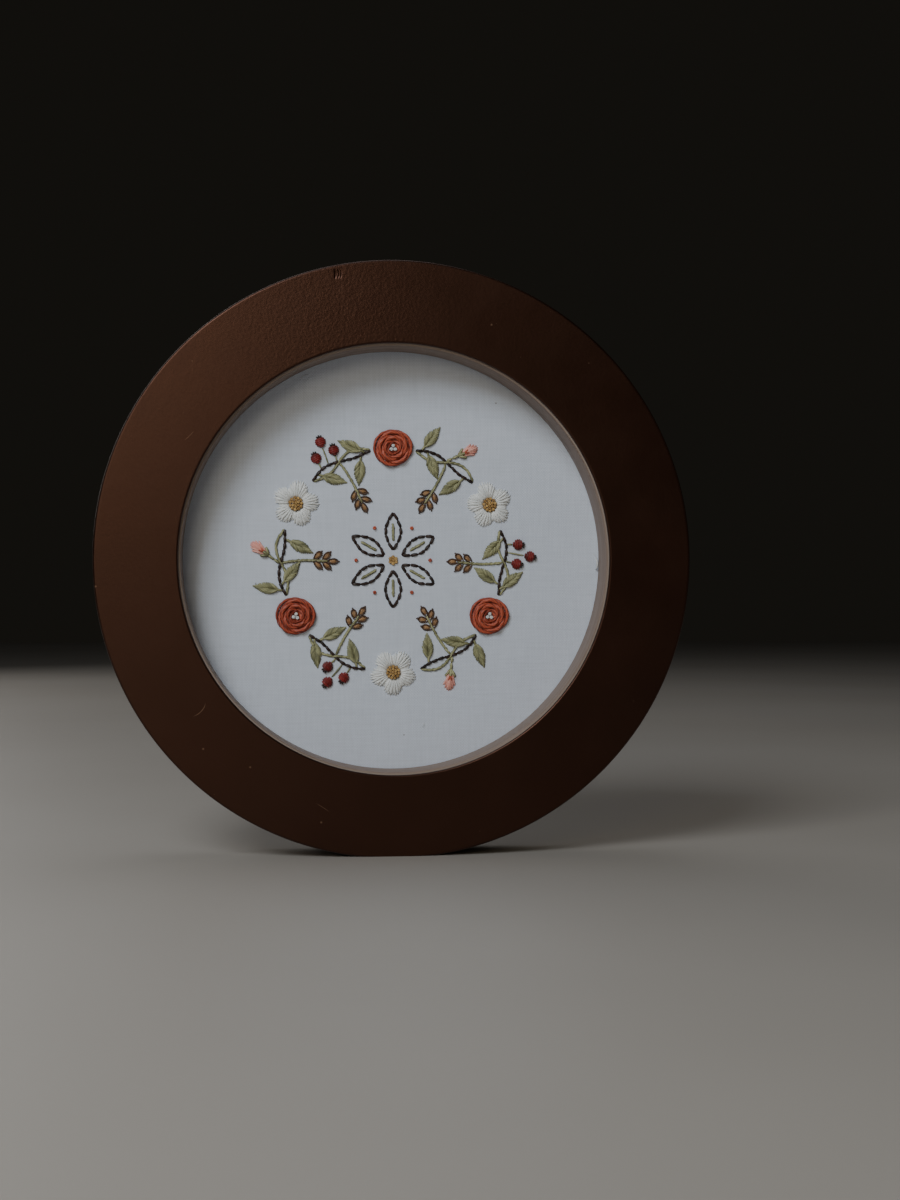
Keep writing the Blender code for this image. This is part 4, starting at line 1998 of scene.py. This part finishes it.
@dataclass
class LooseFibres:
    """A few stray fibres and one lifted thread at the edge of the cloth, where it meets the ring.

    Each fibre has the angle and the radius of its start, and its length.
    """

    spots: tuple[tuple[float, float, float], ...] = (
        (2.0, 74.2 * MM, 3.4 * MM),
        (-0.02, 75.3 * MM, 4.2 * MM),
        (-1.4, 62.0 * MM, 1.6 * MM),
        (3.3, 71.0 * MM, 1.8 * MM),
    )
    hair: Strand = Strand(0.16 * MM, 0.16 * MM, plies=2, twist=2 * MM, sides=5, lobe=0.0)
    hair_steps: int = 10
    hair_bend: float = 1.3
    frayed: Strand = Strand(0.62 * MM, 0.54 * MM, plies=2, twist=2 * MM, sides=7, lobe=0.10)
    frayed_top: Flat = (75.4 * MM, 0.8 * MM)
    frayed_foot: Flat = (75.4 * MM, -3.4 * MM)
    frayed_lift: float = 1.6 * MM
    frayed_bow: float = 0.25 * MM

    def make(self) -> None:
        """Lays the fibres."""
        fibres = Skein("loose_fibres", Thread.WHITE, seed=91)
        for angle, radius, length in self.spots:
            point = polar(radius, angle)
            turn = angle + math.pi / 2 + fibres.shake(0.6)
            path = []
            for k in range(self.hair_steps + 1):
                share = k / self.hair_steps
                point = moved(point, turn + self.hair_bend * share, length / self.hair_steps)
                path.append(fibres.place(point, 0.10 * MM + 0.35 * MM * math.sin(math.pi * share)))
            fibres.lay(path, self.hair, 0.6)
        fibres.straight(
            self.frayed_top, self.frayed_foot, self.frayed, self.frayed_lift, 10, 0.7, self.frayed_bow
        )
        fibres.build()


@dataclass(frozen=True)
class Lamp:
    """A soft square light that looks at the middle of the frame."""

    name: str
    place: tuple[float, float, float]
    side: float
    watts: float
    color: tuple[float, float, float]

    def hang(self) -> None:
        """Adds the light to the scene."""
        data = bpy.data.lights.new(self.name, "AREA")
        data.size, data.energy, data.color = self.side, self.watts, self.color
        lamp = bpy.data.objects.new(self.name, data)
        bpy.context.scene.collection.objects.link(lamp)
        lamp.location = self.place
        lamp.rotation_mode = "QUATERNION"
        way = Vector((0, 0, CENTRE_Z)) - Vector(self.place)
        lamp.rotation_quaternion = way.to_track_quat("-Z", "Y")


@dataclass
class Studio:
    """The floor, the soft lights and the camera, with its angles in degrees."""

    distance: float = 600.0 * MM
    azimuth: float = -4.31
    elevation: float = -1.36
    heading: float = 6.12
    pitch: float = -0.03
    focal_pixels: float = 1685.0
    image_height: float = 1200.0
    sensor: float = 36.0
    lamps: tuple[Lamp, ...] = (
        Lamp("key", (-0.56, -0.86, 0.94), 0.55, 9.6, (0.92, 0.965, 1.0)),
        Lamp("window", (-0.35, -1.16, 0.46), 0.45, 2.15, (1.0, 0.87, 0.66)),
        Lamp("fill", (1.3, -0.7, 0.6), 1.0, 0.4, (1.0, 0.84, 0.60)),
        Lamp("top", (-0.1, 0.3, 1.3), 0.8, 2.0, (0.95, 0.97, 1.0)),
        Lamp("back", (-0.75, 1.05, 0.75), 1.1, 4.2, (1.0, 0.98, 0.95)),
    )
    floor_side: float = 6.0
    floor_dark: Colour = opaque(0.36, 0.335, 0.305)
    floor_pale: Colour = opaque(0.40, 0.375, 0.345)
    room: Colour = opaque(0.35, 0.32, 0.26)
    room_strength: float = 0.025

    def camera(self) -> None:
        """Places the camera where the photograph was taken from."""
        data = bpy.data.cameras.new("camera")
        data.sensor_width = self.sensor
        data.lens = self.sensor * self.focal_pixels / self.image_height
        data.clip_start, data.clip_end = 0.01, 20.0
        eye = bpy.data.objects.new("camera", data)
        bpy.context.scene.collection.objects.link(eye)
        around, above = math.radians(self.azimuth), math.radians(self.elevation)
        back = Vector(
            (math.sin(around) * math.cos(above), -math.cos(around) * math.cos(above), math.sin(above))
        )
        eye.location = Vector((0, FRONT_Y, CENTRE_Z)) + back * self.distance
        eye.rotation_euler = (math.pi / 2 + math.radians(self.pitch), 0, -math.radians(self.heading))
        bpy.context.scene.camera = eye

    def floor(self) -> None:
        """Lays a pale floor."""
        Bench.clear()
        bpy.ops.mesh.primitive_plane_add(size=self.floor_side, location=(0, 0, 0))
        bench = Bench.last("floor")
        graph = Graph("pale_floor")
        cloudy = graph.ramp(graph.noise(3.0, 3.0), 0.3, 0.7)
        color = graph.blend(cloudy, self.floor_dark, self.floor_pale)
        bench.object.data.materials.append(graph.finish(color, 0.5))

    def surroundings(self) -> None:
        """Puts a plain dim room round it."""
        world = bpy.data.worlds.new("room")
        world.use_nodes = True
        ground = world.node_tree.nodes["Background"]
        ground.inputs["Color"].default_value = self.room
        ground.inputs["Strength"].default_value = self.room_strength
        bpy.context.scene.world = world

    def make(self) -> None:
        """Sets up the studio."""
        self.camera()
        for lamp in self.lamps:
            lamp.hang()
        self.floor()
        self.surroundings()


def make_hard_pieces() -> None:
    """Turns and dresses the painted frame and the pale ring."""
    painted = PaintedFrame(
        name="painted_frame",
        inner=REBATE_RADIUS,
        outer=FRAME_RADIUS,
        front=FRONT_Y,
        back=BACK_Y,
        corners=[
            Corner(FRAME_RADIUS, FRONT_Y, OUTER_ROUND),
            Corner(FRAME_RADIUS, BACK_Y, OUTER_ROUND),
            Corner(OPENING_RADIUS, FRONT_Y, INNER_ROUND),
            Corner(REBATE_RADIUS, BACK_Y, RING_ROUND),
        ],
    )
    settle(painted.make(), Paint().make(), "frame_paint", ["frame_ring"])
    radii, depths = (RING_BORE, RING_RADIUS), (RING_LOW.y, RING_HIGH.y)
    pale = TurnedRing(
        name="bare_wood_ring",
        inner=RING_BORE,
        outer=RING_RADIUS,
        front=RING_LOW.y,
        back=RING_HIGH.y,
        corners=[Corner(radius, depth, RING_ROUND) for radius in radii for depth in depths],
        round_steps=3,
    )
    settle(pale.make(), BareWood().make(), "bare_wood", ["inner_ring"])


def make_cloth(wreath: Wreath) -> None:
    """Makes the cloth, pulled a little round each rose and blossom.

    Args:
        wreath: Where the wreath's heads lie.
    """
    pulls = [
        (wreath.head_middle(k), wreath.head_radius(k) + 2.5 * MM, 0.05 * MM) for k in range(wreath.heads)
    ]
    cloth = StretchedCloth(pulls=pulls)
    settle(cloth.make(), Cotton().make(), "cotton", ["cloth"])


def main() -> None:
    """Builds every piece in order."""
    logging.basicConfig(level=logging.INFO, format="%(name)s: %(message)s")
    Studio().make()
    wreath = Wreath()
    for thread, finish in THREADS.items():
        MATERIALS[thread] = finish.make()
    make_hard_pieces()
    make_cloth(wreath)
    flowers = (TwigWork, LeafWork, RoseWork, BlossomWork, BudWork, BerryWork, SeedWork)
    for work in (*flowers, RosetteWork, ReverseWork):
        work(wreath).make()
    LooseFibres().make()


if __name__ == "__main__":
    main()
